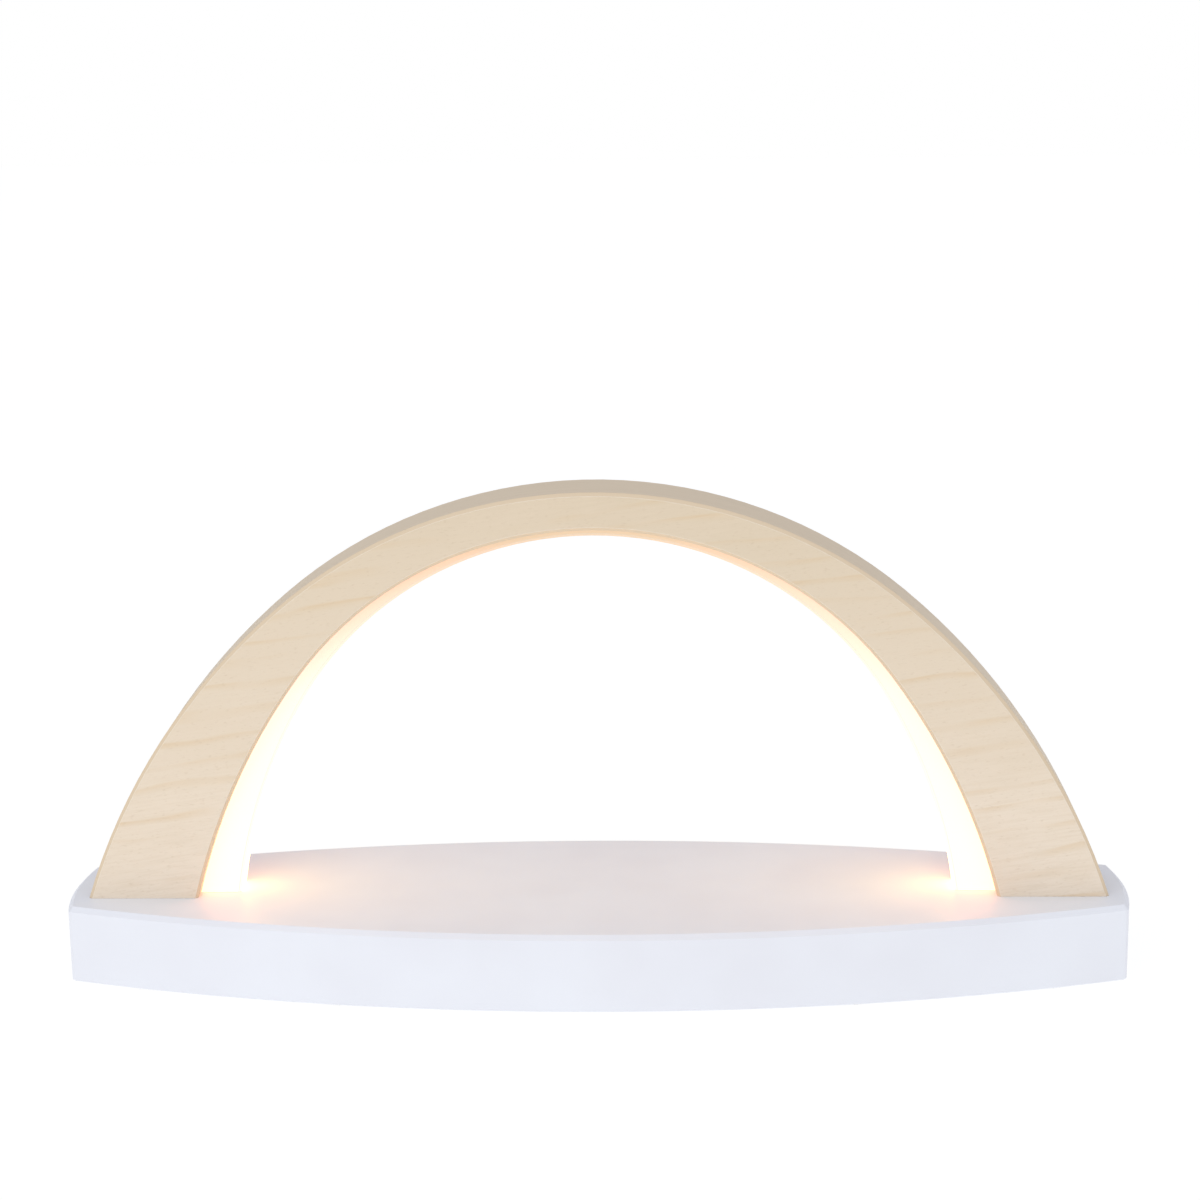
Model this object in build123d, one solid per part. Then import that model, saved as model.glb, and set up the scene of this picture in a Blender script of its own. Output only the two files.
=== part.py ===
from build123d import *
import os
from collections import namedtuple
from math import asin, atan2, cos, degrees, hypot, radians, sin, sqrt

# All lengths are in millimetres and all angles in degrees.
# The arch stands on the XY plane and faces -Y.

# Fits shared by many pieces
fit_gap = 0.05
seat_gap = 0.15
slide_gap = 0.3
cut_overrun = 2.0

# Felt pads under the base
pad_thickness = 1.0
pad_radius = 9.0
pad_end_inset = 34.0
pad_end_offset = 21.0
pad_middle_offset = 37.0
pad_middle_spread = 96.0

# White base board, bowed on all four sides
base_width = 410.0
base_depth = 112.0
end_depth = 48.0
end_bulge = 2.7
base_thickness = 30.0
top_chamfer = 1.8
bottom_chamfer = 0.6
corner_margin = 0.4

# Outer line of the arch: a crown arc that runs into two flatter side arcs
outer_rise = 158.6
outer_crown_radius = 184.0
outer_side_radius = 256.0
outer_joint_angle = 49.7

# Inner line of the front and back boards, whose crown arc is tighter by a step
crown_face = 14.4
inner_crown_step = 44.6
inner_side_radius = 256.0
inner_joint_angle = 36.4

# Inner line of the light guide, which shows inside the boards and is tighter by another step
crown_overhang = 3.4
guide_crown_step = 9.8
guide_side_radius = 214.0
guide_joint_angle = 29.5

# Thickness of the three boards and their broken edges
front_thickness = 7.0
core_thickness = 14.0
back_thickness = 7.0
face_chamfer = 1.2
guide_chamfer = 0.9

# Lamp channel between the two faces, from the inner line out to the core
channel_depth = 9.0
lamp_headroom = 0.6

# Dowels and screws of the arch
foot_dowel_radius = 3.0
foot_dowel_depth = 15.0
foot_dowel_shares = (0.17, 0.67)
layer_dowel_radius = 3.0
layer_dowel_bite = 5.0
layer_dowel_shares = (0.2, 0.36, 0.5)
foot_screw_share = 0.42
arch_screw_head_radius = 4.0
arch_screw_head_height = 2.4
arch_screw_shank_radius = 2.0
arch_screw_length = 50.0

# Lamp tapes and the lamps on them
tape_thickness = 0.6
tape_width = 8.0
tape_start = 2.0
tape_end_margin = 1.5
lamp_width = 2.8
lamp_length = 3.5
lamp_height = 0.8
lamp_pitch = 8.33
first_lamp_height = 10.0

# Leads and the grooves that hold them
lead_radius = 0.9
lead_top = 6.0
lead_bend_radius = 5.0
lead_turn_radius = 30.0
lead_turn_inset = 12.0
lead_hole_radius = 2.2
groove_width = 6.0
groove_headroom = 1.0
strip_thickness = 1.5
strip_border = 1.5
battery_lead_radius = 0.8
battery_lead_spread = 1.2

# AA cells
cell_radius = 7.1
cell_length = 49.2
nub_radius = 2.6
nub_length = 1.3
cell_edge_radius = 0.6
cell_count = 3

# Battery box
box_wall = 1.6
cell_rib = 0.8
cell_rib_height = 6.0
leaf_space = 3.2
plate_space = 0.8
flange_thickness = 4.0
flange_margin = 5.5
flange_corner_radius = 4.0

# Contacts
contact_thickness = 0.4
contact_width = 9.0
contact_height = 11.0
leaf_tip_share = 0.5

# Battery lid on four tongues
lid_thickness = 1.8
lid_overlap = 1.8
lid_side_overlap = 0.8
lid_travel = 8.0
lid_corner_radius = 2.5
tongue_length = 6.0
tongue_reach = 1.5
tongue_thickness = 0.8
tongue_place_share = 0.62
lip_thickness = 0.8
ridge_count = 4
ridge_length = 18.0
ridge_width = 1.1
ridge_pitch = 2.4
ridge_depth = 0.5
ridge_place_share = 0.68

# Small countersunk screws for the plastic pieces
small_screw_head_radius = 2.3
small_screw_head_height = 1.3
small_screw_shank_radius = 1.2
small_screw_length = 10.0
tiny_screw_head_radius = 1.7
tiny_screw_head_height = 1.0
tiny_screw_shank_radius = 0.9
tiny_screw_length = 4.6
recess_width_share = 0.28
recess_reach_share = 0.62
recess_depth_share = 0.55

# Timer pocket at the back of the base
pocket_width = 54.0
pocket_depth = 20.0
pocket_back_wall = 7.5
pocket_height = 19.0
cover_thickness = 2.0
cover_side_border = 6.0
cover_border = 1.5
cover_corner_radius = 2.0
cover_screw_share = -0.25
post_height = 5.0
post_radius = 2.6
post_inset = 5.0

# Timer board and what is soldered to it
board_length = 44.0
board_depth = 16.0
board_thickness = 1.6
board_back_gap = 0.4
chip_length = 5.0
chip_width = 4.0
chip_height = 1.6
chip_shares = (-0.3, -0.12)
capacitor_radius = 2.6
capacitor_height = 6.5
capacitor_shares = (0.3, -0.14)
capacitor_edge = 0.4
header_length = 5.0
header_width = 6.0
header_height = 5.0

# Slide switch on the board's back edge
switch_length = 12.0
switch_depth = 6.0
switch_height = 6.0
switch_slot_depth = 2.6
stem_width = 3.0
stem_height = 2.4
switch_throw = 2.0
cap_width = 7.0
cap_height = 5.0
cap_thickness = 1.8
cap_edge = 0.4
cap_groove_count = 3
cap_groove_width = 0.6
cap_groove_depth = 0.5
cap_groove_pitch = 1.5
bezel_width = 25.0
bezel_height = 9.0
bezel_thickness = 1.5
bezel_corner_radius = 2.0
bezel_screw_share = 0.36
switch_recess_border = 2.0

# Levels and places that follow from the sizes above
base_bottom = pad_thickness
corner_radius = max(top_chamfer, bottom_chamfer) + corner_margin
base_top = base_bottom + base_thickness
front_face = -(front_thickness + core_thickness + back_thickness) / 2
core_front = front_face + front_thickness
core_back = core_front + core_thickness
back_face = core_back + back_thickness
channel_middle = (core_front + core_back) / 2

pocket_back = base_depth / 2 - pocket_back_wall
pocket_middle = pocket_back - pocket_depth / 2
cover_front = pocket_back - pocket_depth - cover_border
bay_offset = (cover_front - base_depth / 2) / 2

cell_pitch = 2 * cell_radius + cell_rib + 2 * slide_gap
bay_length = cell_length + nub_length + leaf_space + plate_space
bay_width = cell_count * cell_pitch
lid_top = base_bottom + lid_thickness
cell_bottom = lid_top + slide_gap
cell_axis = cell_bottom + cell_radius
bay_ceiling = cell_bottom + 2 * cell_radius + slide_gap
box_top = bay_ceiling + box_wall
lid_length = bay_length + 2 * lid_overlap
lid_width = bay_width + 2 * lid_side_overlap
flange_top = base_bottom + flange_thickness
flange_x0 = -lid_length / 2 - slide_gap - flange_margin
flange_x1 = lid_length / 2 + lid_travel + slide_gap + flange_margin
flange_y0 = bay_offset - lid_width / 2 - slide_gap - flange_margin
flange_y1 = bay_offset + lid_width / 2 + slide_gap + flange_margin

board_bottom = base_bottom + cover_thickness + post_height
board_top = board_bottom + board_thickness
board_back = pocket_back - board_back_gap
board_middle = board_back - board_depth / 2
lead_level = board_top + header_height / 2
groove_top = lead_level + lead_radius + groove_headroom
switch_level = board_top + switch_height / 2
switch_recess_depth = bezel_thickness + slide_gap + cap_thickness
bezel_back = base_depth / 2 - switch_recess_depth
bezel_front = bezel_back + bezel_thickness

ArchLine = namedtuple("ArchLine", "crown_z crown_r side_x side_z side_r angle")


def arch_line(rise, crown_r, side_r, angle):
    """A line of the arch, with heights counted from the top of the base."""
    crown_z = rise - crown_r
    side_x = -(side_r - crown_r) * cos(radians(angle))
    side_z = crown_z - (side_r - crown_r) * sin(radians(angle))
    return ArchLine(crown_z, crown_r, side_x, side_z, side_r, angle)


def moved_out(line, step):
    """The same line, a step further out all along."""
    return line._replace(crown_r=line.crown_r + step, side_r=line.side_r + step)


def side_reach(line, height):
    """How far from the middle the line is at a height."""
    joint_height = line.crown_z + line.crown_r * sin(radians(line.angle))
    if height > joint_height:
        return sqrt(line.crown_r**2 - (height - line.crown_z) ** 2)
    return line.side_x + sqrt(line.side_r**2 - (height - line.side_z) ** 2)


def side_angle(line, height):
    """The angle about the side arc's centre at a height."""
    return degrees(asin((height - line.side_z) / line.side_r))


def side_point(line, angle):
    """The point of the right side arc at an angle about its centre."""
    turn = radians(angle)
    return (line.side_x + line.side_r * cos(turn), line.side_z + line.side_r * sin(turn))


outer_line = arch_line(outer_rise, outer_crown_radius, outer_side_radius, outer_joint_angle)
inner_rise = outer_rise - crown_face
inner_crown_radius = outer_crown_radius - inner_crown_step
inner_line = arch_line(inner_rise, inner_crown_radius, inner_side_radius, inner_joint_angle)
guide_rise = inner_rise - crown_overhang
guide_crown_radius = inner_crown_radius - guide_crown_step
guide_line = arch_line(guide_rise, guide_crown_radius, guide_side_radius, guide_joint_angle)
channel_line = moved_out(inner_line, channel_depth)
tape_line = moved_out(channel_line, -fit_gap)
tape_face_line = moved_out(tape_line, -tape_thickness)
lamp_line = moved_out(tape_face_line, -fit_gap)
guide_back_line = moved_out(lamp_line, -lamp_height - lamp_headroom)

foot_inner = side_reach(channel_line, 0)
foot_outer = side_reach(outer_line, 0)
lead_x = side_reach(tape_face_line, lead_top) - lead_radius - 2 * fit_gap
lead_foot = (lead_x, channel_middle)
foot_screw_x = foot_inner + foot_screw_share * (foot_outer - foot_inner)
foot_dowel_xs = [foot_inner + share * (foot_outer - foot_inner) for share in foot_dowel_shares]


def block(x0, x1, y0, y1, z0, z1):
    """A box between two corners."""
    return Pos((x0 + x1) / 2, (y0 + y1) / 2, (z0 + z1) / 2) * Box(x1 - x0, y1 - y0, z1 - z0)


def rod(x, y, z0, z1, radius):
    """An upright round bar."""
    return Pos(x, y, (z0 + z1) / 2) * Cylinder(radius, z1 - z0)


def cross_rod(x, z, y0, y1, radius):
    """A round bar that lies along Y."""
    return Pos(x, (y0 + y1) / 2, z) * Rot(90, 0, 0) * Cylinder(radius, y1 - y0)


def plate(x0, x1, y0, y1, z0, z1, radius):
    """A flat plate with rounded corners."""
    outline = Pos((x0 + x1) / 2, (y0 + y1) / 2, z0) * RectangleRounded(x1 - x0, y1 - y0, radius)
    return extrude(outline, z1 - z0)


def both_sides(piece):
    """A piece and its mirror image on the other leg."""
    return [piece, mirror(piece, about=Plane.YZ)]


def screw(head_radius, head_height, shank_radius, length):
    """A countersunk cross-head screw that points up, with its head's face at zero."""
    head = Pos(0, 0, head_height / 2) * Cone(head_radius, shank_radius, head_height)
    body = head + rod(0, 0, head_height, length, shank_radius)
    reach = head_radius * recess_reach_share
    half = head_radius * recess_width_share / 2
    depth = head_height * recess_depth_share
    cross = block(-reach, reach, -half, half, 0, depth) + block(-half, half, -reach, reach, 0, depth)
    return body - cross


def screw_seat(head_radius, head_height, shank_radius, length):
    """The hole that such a screw sits in, with a fit gap all round."""
    sink = Pos(0, 0, head_height / 2) * Cone(head_radius + fit_gap, shank_radius + fit_gap, head_height)
    return sink + rod(0, 0, 0, length + fit_gap, shank_radius + fit_gap)


arch_screw = (arch_screw_head_radius, arch_screw_head_height, arch_screw_shank_radius, arch_screw_length)
small_screw = (small_screw_head_radius, small_screw_head_height, small_screw_shank_radius, small_screw_length)
tiny_screw = (tiny_screw_head_radius, tiny_screw_head_height, tiny_screw_shank_radius, tiny_screw_length)

arch_screw_spots = [Pos(x, 0, base_bottom) for x in (foot_screw_x, -foot_screw_x)]
box_screw_spots = [
    Pos(x, y, base_bottom)
    for x in (flange_x0 + flange_margin / 2, flange_x1 - flange_margin / 2)
    for y in (flange_y0 + flange_margin / 2, flange_y1 - flange_margin / 2)
]
cover_screw_x = (pocket_width + cover_side_border) / 2
cover_screw_y = pocket_middle + cover_screw_share * pocket_depth
cover_screw_spots = [Pos(x, cover_screw_y, base_bottom) for x in (cover_screw_x, -cover_screw_x)]
board_post_xs = [side * (board_length / 2 - post_inset) for side in (-1, 1)]
board_post_y = board_middle - board_depth / 2 + post_radius
board_screw_spots = [Pos(x, board_post_y, board_top) * Rot(180, 0, 0) for x in board_post_xs]
bezel_screw_spots = [
    Pos(side * bezel_width * bezel_screw_share, bezel_front, switch_level) * Rot(90, 0, 0) for side in (-1, 1)
]


def screws(spots, kind):
    """One node of like screws."""
    return [spot * screw(*kind) for spot in spots]


def board_plane(y):
    """The upright plane in which the arch's lines are drawn, at a depth."""
    return Plane(origin=(0, y, base_top), x_dir=(1, 0, 0), z_dir=(0, -1, 0))


def under_line(line, bottom):
    """The area under a line of the arch, down to a height."""
    foot = (side_reach(line, bottom), bottom)
    joint = side_point(line, line.angle)
    flank = side_point(line, (side_angle(line, bottom) + line.angle) / 2)
    crown = (0, line.crown_z + line.crown_r)

    def left(point):
        return (-point[0], point[1])

    edges = [
        ThreePointArc(foot, flank, joint),
        ThreePointArc(joint, crown, left(joint)),
        ThreePointArc(left(joint), left(flank), left(foot)),
        Line(left(foot), foot),
    ]
    return make_face(edges)


def arch_board(outside, inside, y_front, y_back):
    """A board between two lines of the arch."""
    plane = board_plane(y_back)
    solid = extrude(plane * under_line(outside, 0), y_back - y_front)
    hole_plane = board_plane(y_back + cut_overrun)
    hole = extrude(hole_plane * under_line(inside, -cut_overrun), y_back - y_front + 2 * cut_overrun)
    return solid - hole


def edges_along(board, line, y):
    """The edges of a board that follow a line, on its face at a depth."""
    picked = []
    for edge in board.edges().filter_by(GeomType.CIRCLE):
        middle = edge @ 0.5
        on_face = abs(middle.Y - y) < fit_gap
        height = min(middle.Z - base_top, line.crown_z + line.crown_r)
        if on_face and abs(side_reach(line, height) - abs(middle.X)) < fit_gap:
            picked.append(edge)
    return picked


def layer_dowel_spots():
    """Where the dowels through the three boards lie, as places across and heights."""
    spots = []
    for share in layer_dowel_shares:
        height = share * outer_rise
        across = (side_reach(outer_line, height) + side_reach(channel_line, height)) / 2
        spots += [(across, base_top + height), (-across, base_top + height)]
    return spots


def layer_dowels(radius, gap):
    """Wooden dowels through the three boards, or with a gap the holes for them."""
    y0 = core_front - layer_dowel_bite - gap
    y1 = core_back + layer_dowel_bite + gap
    return [cross_rod(x, z, y0, y1, radius + gap) for x, z in layer_dowel_spots()]


def foot_dowels(radius, gap):
    """Upright dowels between core and base, or with a gap the holes for them."""
    z0 = base_top - foot_dowel_depth - gap
    z1 = base_top + foot_dowel_depth + gap
    return [piece for x in foot_dowel_xs for piece in both_sides(rod(x, 0, z0, z1, radius + gap))]


def front_arch_board():
    """Front board, which covers the lamps."""
    board = arch_board(outer_line, inner_line, front_face, core_front)
    board = chamfer(board.faces().sort_by(Axis.Y)[0].edges().filter_by(GeomType.CIRCLE), face_chamfer)
    return board - layer_dowels(layer_dowel_radius, fit_gap)


def core_arch_board():
    """Core board, which carries the other two and stands on the dowels and screws."""
    board = arch_board(outer_line, channel_line, core_front, core_back)
    seats = [spot * screw_seat(*arch_screw) for spot in arch_screw_spots]
    return board - layer_dowels(layer_dowel_radius, fit_gap) - foot_dowels(foot_dowel_radius, fit_gap) - seats


def back_arch_board():
    """Back board, plain, with the front board's outline."""
    board = arch_board(outer_line, inner_line, core_back, back_face)
    board = chamfer(board.faces().sort_by(Axis.Y)[-1].edges().filter_by(GeomType.CIRCLE), face_chamfer)
    return board - layer_dowels(layer_dowel_radius, fit_gap)


def light_guide():
    """The frosted plate held between front and back board, with room at its feet for the leads."""
    guide = arch_board(guide_back_line, guide_line, core_front, core_back)
    rims = edges_along(guide, guide_line, core_front) + edges_along(guide, guide_line, core_back)
    guide = chamfer(rims, guide_chamfer)
    notch_top = base_top + lead_top + groove_headroom
    return guide - both_sides(rod(*lead_foot, base_top - cut_overrun, notch_top, lead_hole_radius))


tape_first_angle = side_angle(tape_line, tape_start)
tape_last_angle = inner_joint_angle - degrees(tape_end_margin / tape_line.side_r)


def lamp_tape():
    """The right leg's lamp tape, bent along the wall of the channel."""
    middle_angle = (tape_first_angle + tape_last_angle) / 2
    wall = [side_point(tape_line, angle) for angle in (tape_first_angle, middle_angle, tape_last_angle)]
    face = [side_point(tape_face_line, angle) for angle in (tape_last_angle, middle_angle, tape_first_angle)]
    edges = [ThreePointArc(*wall), Line(wall[-1], face[0]), ThreePointArc(*face), Line(face[-1], wall[0])]
    return extrude(board_plane(channel_middle + tape_width / 2) * make_face(edges), tape_width)


def lamps():
    """The right leg's lamps, evenly spaced along the tape and facing into the arch."""
    step = degrees(lamp_pitch / tape_face_line.side_r)
    angle = side_angle(tape_face_line, first_lamp_height)
    seated = moved_out(lamp_line, -lamp_height / 2)
    pieces = []
    while angle < tape_last_angle - step / 2:
        x, z = side_point(seated, angle)
        chip = Box(lamp_height, lamp_width, lamp_length)
        pieces.append(Pos(x, channel_middle, base_top + z) * Rot(0, -angle, 0) * chip)
        angle += step
    return pieces


lead_turn = (pocket_width / 2 + lead_turn_inset, board_middle)
strip_half = groove_width / 2 + strip_border


def lamp_lead():
    """The right leg's lead, from the tape down through the base to the timer board."""
    points = [
        (*lead_foot, base_top + lead_top),
        (*lead_foot, lead_level),
        (*lead_turn, lead_level),
        (board_length / 2, board_middle, lead_level),
    ]
    path = FilletPolyline(*points, radius=[lead_bend_radius, lead_turn_radius])
    start = Plane(origin=path @ 0, z_dir=path % 0)
    return sweep(start * Circle(lead_radius), path=path)


def run(start, end, half_width, z0, z1):
    """A bar with round ends between two places in plan."""
    across, along = end[0] - start[0], end[1] - start[1]
    turn = degrees(atan2(along, across))
    middle = Pos((start[0] + end[0]) / 2, (start[1] + end[1]) / 2, (z0 + z1) / 2)
    bar = middle * Rot(0, 0, turn) * Box(hypot(across, along), 2 * half_width, z1 - z0)
    return bar + rod(*start, z0, z1, half_width) + rod(*end, z0, z1, half_width)


def lead_groove():
    """The right groove for a lead on the underside, with its strip's seat and the hole up to the channel."""
    half = groove_width / 2
    bottom = base_bottom - cut_overrun
    x0 = pocket_width / 2 - cut_overrun
    groove = run(lead_foot, lead_turn, half, bottom, groove_top)
    groove += block(x0, lead_turn[0], board_middle - half, board_middle + half, bottom, groove_top)
    groove += channel_strip(seat_gap)
    return groove + rod(*lead_foot, base_bottom, base_top + cut_overrun, lead_hole_radius)


def channel_strip(gap):
    """The right strip that closes the groove, or with a gap the seat for it."""
    half = strip_half + gap
    bottom = base_bottom - (cut_overrun if gap else 0)
    top = base_bottom + strip_thickness + gap
    x0 = pocket_width / 2 + cover_side_border + 2 * seat_gap - gap
    strip = run(lead_foot, lead_turn, half, bottom, top)
    return strip + block(x0, lead_turn[0], board_middle - half, board_middle + half, bottom, top)


def base_outline():
    """The base in plan: two long bowed sides and two short ones."""
    x, y = base_width / 2 - end_bulge, end_depth / 2
    edges = [
        ThreePointArc((-x, -y), (0, -base_depth / 2), (x, -y)),
        ThreePointArc((x, -y), (base_width / 2, 0), (x, y)),
        ThreePointArc((x, y), (0, base_depth / 2), (-x, y)),
        ThreePointArc((-x, y), (-base_width / 2, 0), (-x, -y)),
    ]
    return make_face(edges)


def switch_opening(y0, y1):
    """The slot that the switch's stem slides in."""
    half_width = stem_width / 2 + switch_throw + slide_gap
    half_height = stem_height / 2 + slide_gap
    return block(-half_width, half_width, y0, y1, switch_level - half_height, switch_level + half_height)


def back_plane(y):
    """An upright plane that faces backwards, at the height of the switch."""
    return Plane(origin=(0, y, switch_level), x_dir=(-1, 0, 0), z_dir=(0, 1, 0))


def base_board():
    """The base, with its pockets, grooves and holes."""
    board = extrude(Pos(0, 0, base_bottom) * base_outline(), base_thickness)
    board = fillet(board.edges().filter_by(Axis.Z), corner_radius)
    board = chamfer(board.faces().sort_by(Axis.Z)[-1].edges(), top_chamfer)
    board = chamfer(board.faces().sort_by(Axis.Z)[0].edges(), bottom_chamfer)
    bottom = base_bottom - cut_overrun
    half_length = bay_length / 2 + box_wall + seat_gap
    half_width = bay_width / 2 + box_wall + seat_gap
    box_y0, box_y1 = bay_offset - half_width, bay_offset + half_width
    board -= block(-half_length, half_length, box_y0, box_y1, bottom, box_top + seat_gap)
    board -= flange_plate(seat_gap, bottom)
    pocket_top = base_bottom + pocket_height
    pocket_front = pocket_back - pocket_depth
    board -= block(-pocket_width / 2, pocket_width / 2, pocket_front, pocket_back, bottom, pocket_top)
    board -= cover_plate(seat_gap, bottom)
    slot_half = battery_lead_spread + battery_lead_radius + groove_headroom
    slot_z0, slot_z1 = lead_level - slot_half, lead_level + slot_half
    board -= block(-slot_half, slot_half, box_y1 - seat_gap, pocket_front + seat_gap, slot_z0, slot_z1)
    recess_width = bezel_width + 2 * switch_recess_border
    recess_height = bezel_height + 2 * switch_recess_border
    recess = RectangleRounded(recess_width, recess_height, bezel_corner_radius + switch_recess_border)
    board -= extrude(back_plane(bezel_back) * recess, switch_recess_depth + cut_overrun)
    board -= switch_opening(pocket_back - cut_overrun, bezel_back + cut_overrun)
    board -= both_sides(lead_groove())
    board -= foot_dowels(foot_dowel_radius, fit_gap)
    board -= [spot * screw_seat(*arch_screw) for spot in arch_screw_spots]
    board -= [spot * screw_seat(*small_screw) for spot in box_screw_spots + cover_screw_spots]
    return board - [spot * screw_seat(*tiny_screw) for spot in bezel_screw_spots]


def flange_plate(gap, bottom):
    """The battery box's flange, or with a gap the seat for it."""
    corners = (flange_x0 - gap, flange_x1 + gap, flange_y0 - gap, flange_y1 + gap)
    return plate(*corners, bottom, flange_top + gap, flange_corner_radius + gap)


tongue_xs = [side * tongue_place_share * lid_length / 2 for side in (-1, 1)]
tongue_edge = lid_width / 2 + tongue_reach


def battery_box():
    """The cell tray, with a flange in which the lid slides above four lips."""
    half_length, half_width = bay_length / 2, bay_width / 2
    y0, y1 = bay_offset - half_width, bay_offset + half_width
    outer = half_length + box_wall
    box = block(-outer, outer, y0 - box_wall, y1 + box_wall, base_bottom, box_top)
    box += flange_plate(0, base_bottom)
    box -= block(-half_length, half_length, y0, y1, base_bottom, bay_ceiling)
    recess_top = lid_top + slide_gap
    x0 = -lid_length / 2 - slide_gap
    x1 = lid_length / 2 + lid_travel + slide_gap
    opening = lid_width / 2 + slide_gap
    box -= block(x0, x1, bay_offset - opening, bay_offset + opening, base_bottom, recess_top)
    reach = tongue_edge + slide_gap
    half_tongue = tongue_length / 2 + slide_gap
    lip_top = base_bottom + lip_thickness
    for x in tongue_xs:
        ends = (x - half_tongue, x + half_tongue + lid_travel)
        box -= block(*ends, bay_offset - reach, bay_offset + reach, lip_top, recess_top)
        drop = (x + lid_travel - half_tongue, x + lid_travel + half_tongue)
        box -= block(*drop, bay_offset - reach, bay_offset + reach, base_bottom, lip_top)
    for i in range(cell_count - 1):
        rib_y = bay_offset + (i + 1 - cell_count / 2) * cell_pitch
        rib_ends = (rib_y - cell_rib / 2, rib_y + cell_rib / 2)
        box += block(-half_length, half_length, *rib_ends, bay_ceiling - cell_rib_height, bay_ceiling)
    return box - [spot * screw_seat(*small_screw) for spot in box_screw_spots]


def battery_lid():
    """The lid, with two tongues on each side and ridges for the thumb."""
    half_length, half_width = lid_length / 2, lid_width / 2
    lid = plate(
        -half_length,
        half_length,
        bay_offset - half_width,
        bay_offset + half_width,
        base_bottom,
        lid_top,
        lid_corner_radius,
    )
    for x in tongue_xs:
        ends = (x - tongue_length / 2, x + tongue_length / 2)
        sides = (bay_offset - tongue_edge, bay_offset + tongue_edge)
        lid += block(*ends, *sides, lid_top - tongue_thickness, lid_top)
    for i in range(ridge_count):
        x = -half_length * ridge_place_share + (i - (ridge_count - 1) / 2) * ridge_pitch
        groove_ends = (x - ridge_width / 2, x + ridge_width / 2)
        y0, y1 = bay_offset - ridge_length / 2, bay_offset + ridge_length / 2
        lid -= block(*groove_ends, y0, y1, base_bottom, base_bottom + ridge_depth)
    return lid


def cell_place(index):
    """Where a cell's axis lies across the bay, and which way its nub points."""
    across = bay_offset + (index - (cell_count - 1) / 2) * cell_pitch
    return across, 1 if index % 2 == 0 else -1


def battery_cell(index):
    """An AA cell; neighbours point opposite ways."""
    across, way = cell_place(index)
    can = Pos(0, 0, cell_length / 2) * Cylinder(cell_radius, cell_length)
    can = fillet(can.edges().filter_by(GeomType.CIRCLE), cell_edge_radius)
    can += rod(0, 0, cell_length, cell_length + nub_length, nub_radius)
    start = -way * (bay_length / 2 - leaf_space)
    return Pos(start, across, cell_axis) * Rot(0, way * 90, 0) * can


def contact_plates():
    """Flat contacts at the cells' nubs."""
    pieces = []
    for index in range(cell_count):
        across, way = cell_place(index)
        x1 = bay_length / 2 - fit_gap
        z0, z1 = cell_axis - contact_height / 2, cell_axis + contact_height / 2
        flat = block(x1 - contact_thickness, x1, -contact_width / 2, contact_width / 2, z0, z1)
        pieces.append(Pos(0, across, 0) * (flat if way > 0 else mirror(flat, about=Plane.YZ)))
    return pieces


def contact_leaves():
    """Sprung contacts at the cells' flat ends: a plate with a leaf bent forward from its top."""
    tip = leaf_space - slide_gap - fit_gap
    outline = [
        (0, 0),
        (contact_thickness, 0),
        (contact_thickness, contact_height - 2 * contact_thickness),
        (tip - contact_thickness, contact_height * leaf_tip_share),
        (tip, contact_height * leaf_tip_share),
        (contact_thickness, contact_height),
        (0, contact_height),
    ]
    face = make_face(Polyline(*outline, close=True))
    pieces = []
    for index in range(cell_count):
        across, way = cell_place(index)
        corner = (-bay_length / 2 + fit_gap, contact_width / 2, cell_axis - contact_height / 2)
        leaf = extrude(Plane(origin=corner, x_dir=(1, 0, 0), z_dir=(0, -1, 0)) * face, contact_width)
        pieces.append(Pos(0, across, 0) * (leaf if way > 0 else mirror(leaf, about=Plane.YZ)))
    return pieces


def cover_plate(gap, bottom):
    """The plate over the timer pocket, or with a gap the seat for it."""
    half = pocket_width / 2 + cover_side_border + gap
    y0 = cover_front - gap
    y1 = pocket_back + cover_border + gap
    return plate(-half, half, y0, y1, bottom, base_bottom + cover_thickness + gap, cover_corner_radius + gap)


def driver_cover():
    """The pocket's cover, with four posts that carry the timer board."""
    cover = cover_plate(0, base_bottom)
    for x in board_post_xs:
        for y in (board_post_y, board_back - post_radius):
            cover += rod(x, y, base_bottom, board_bottom, post_radius)
    cover -= [spot * screw_seat(*tiny_screw) for spot in board_screw_spots]
    return cover - [spot * screw_seat(*small_screw) for spot in cover_screw_spots]


def timer_board():
    """The bare circuit board."""
    half = board_length / 2
    board = block(-half, half, board_back - board_depth, board_back, board_bottom, board_top)
    return board - [spot * screw_seat(*tiny_screw) for spot in board_screw_spots]


def timer_chip():
    """The timer's moulded chip."""
    x, y = chip_shares[0] * board_length, board_middle + chip_shares[1] * board_depth
    return Pos(x, y, board_top + chip_height / 2) * Box(chip_length, chip_width, chip_height)


def smoothing_capacitor():
    """A small upright can beside the chip."""
    x, y = capacitor_shares[0] * board_length, board_middle + capacitor_shares[1] * board_depth
    can = rod(x, y, board_top, board_top + capacitor_height, capacitor_radius)
    return fillet(can.edges().filter_by(GeomType.CIRCLE).sort_by(Axis.Z)[-1], capacitor_edge)


def lead_headers():
    """The plugs that the two lamp leads and the battery leads end in."""
    end = board_length / 2
    half = header_width / 2
    z1 = board_top + header_height
    side = block(end - header_length, end, board_middle - half, board_middle + half, board_top, z1)
    front = board_back - board_depth
    return both_sides(side) + [block(-half, half, front, front + header_length, board_top, z1)]


def battery_leads():
    """The two straight leads from the battery box to the board."""
    y0 = bay_offset + bay_width / 2 + box_wall
    y1 = board_back - board_depth
    lead = cross_rod(battery_lead_spread, lead_level, y0, y1, battery_lead_radius)
    return both_sides(lead)


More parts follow.
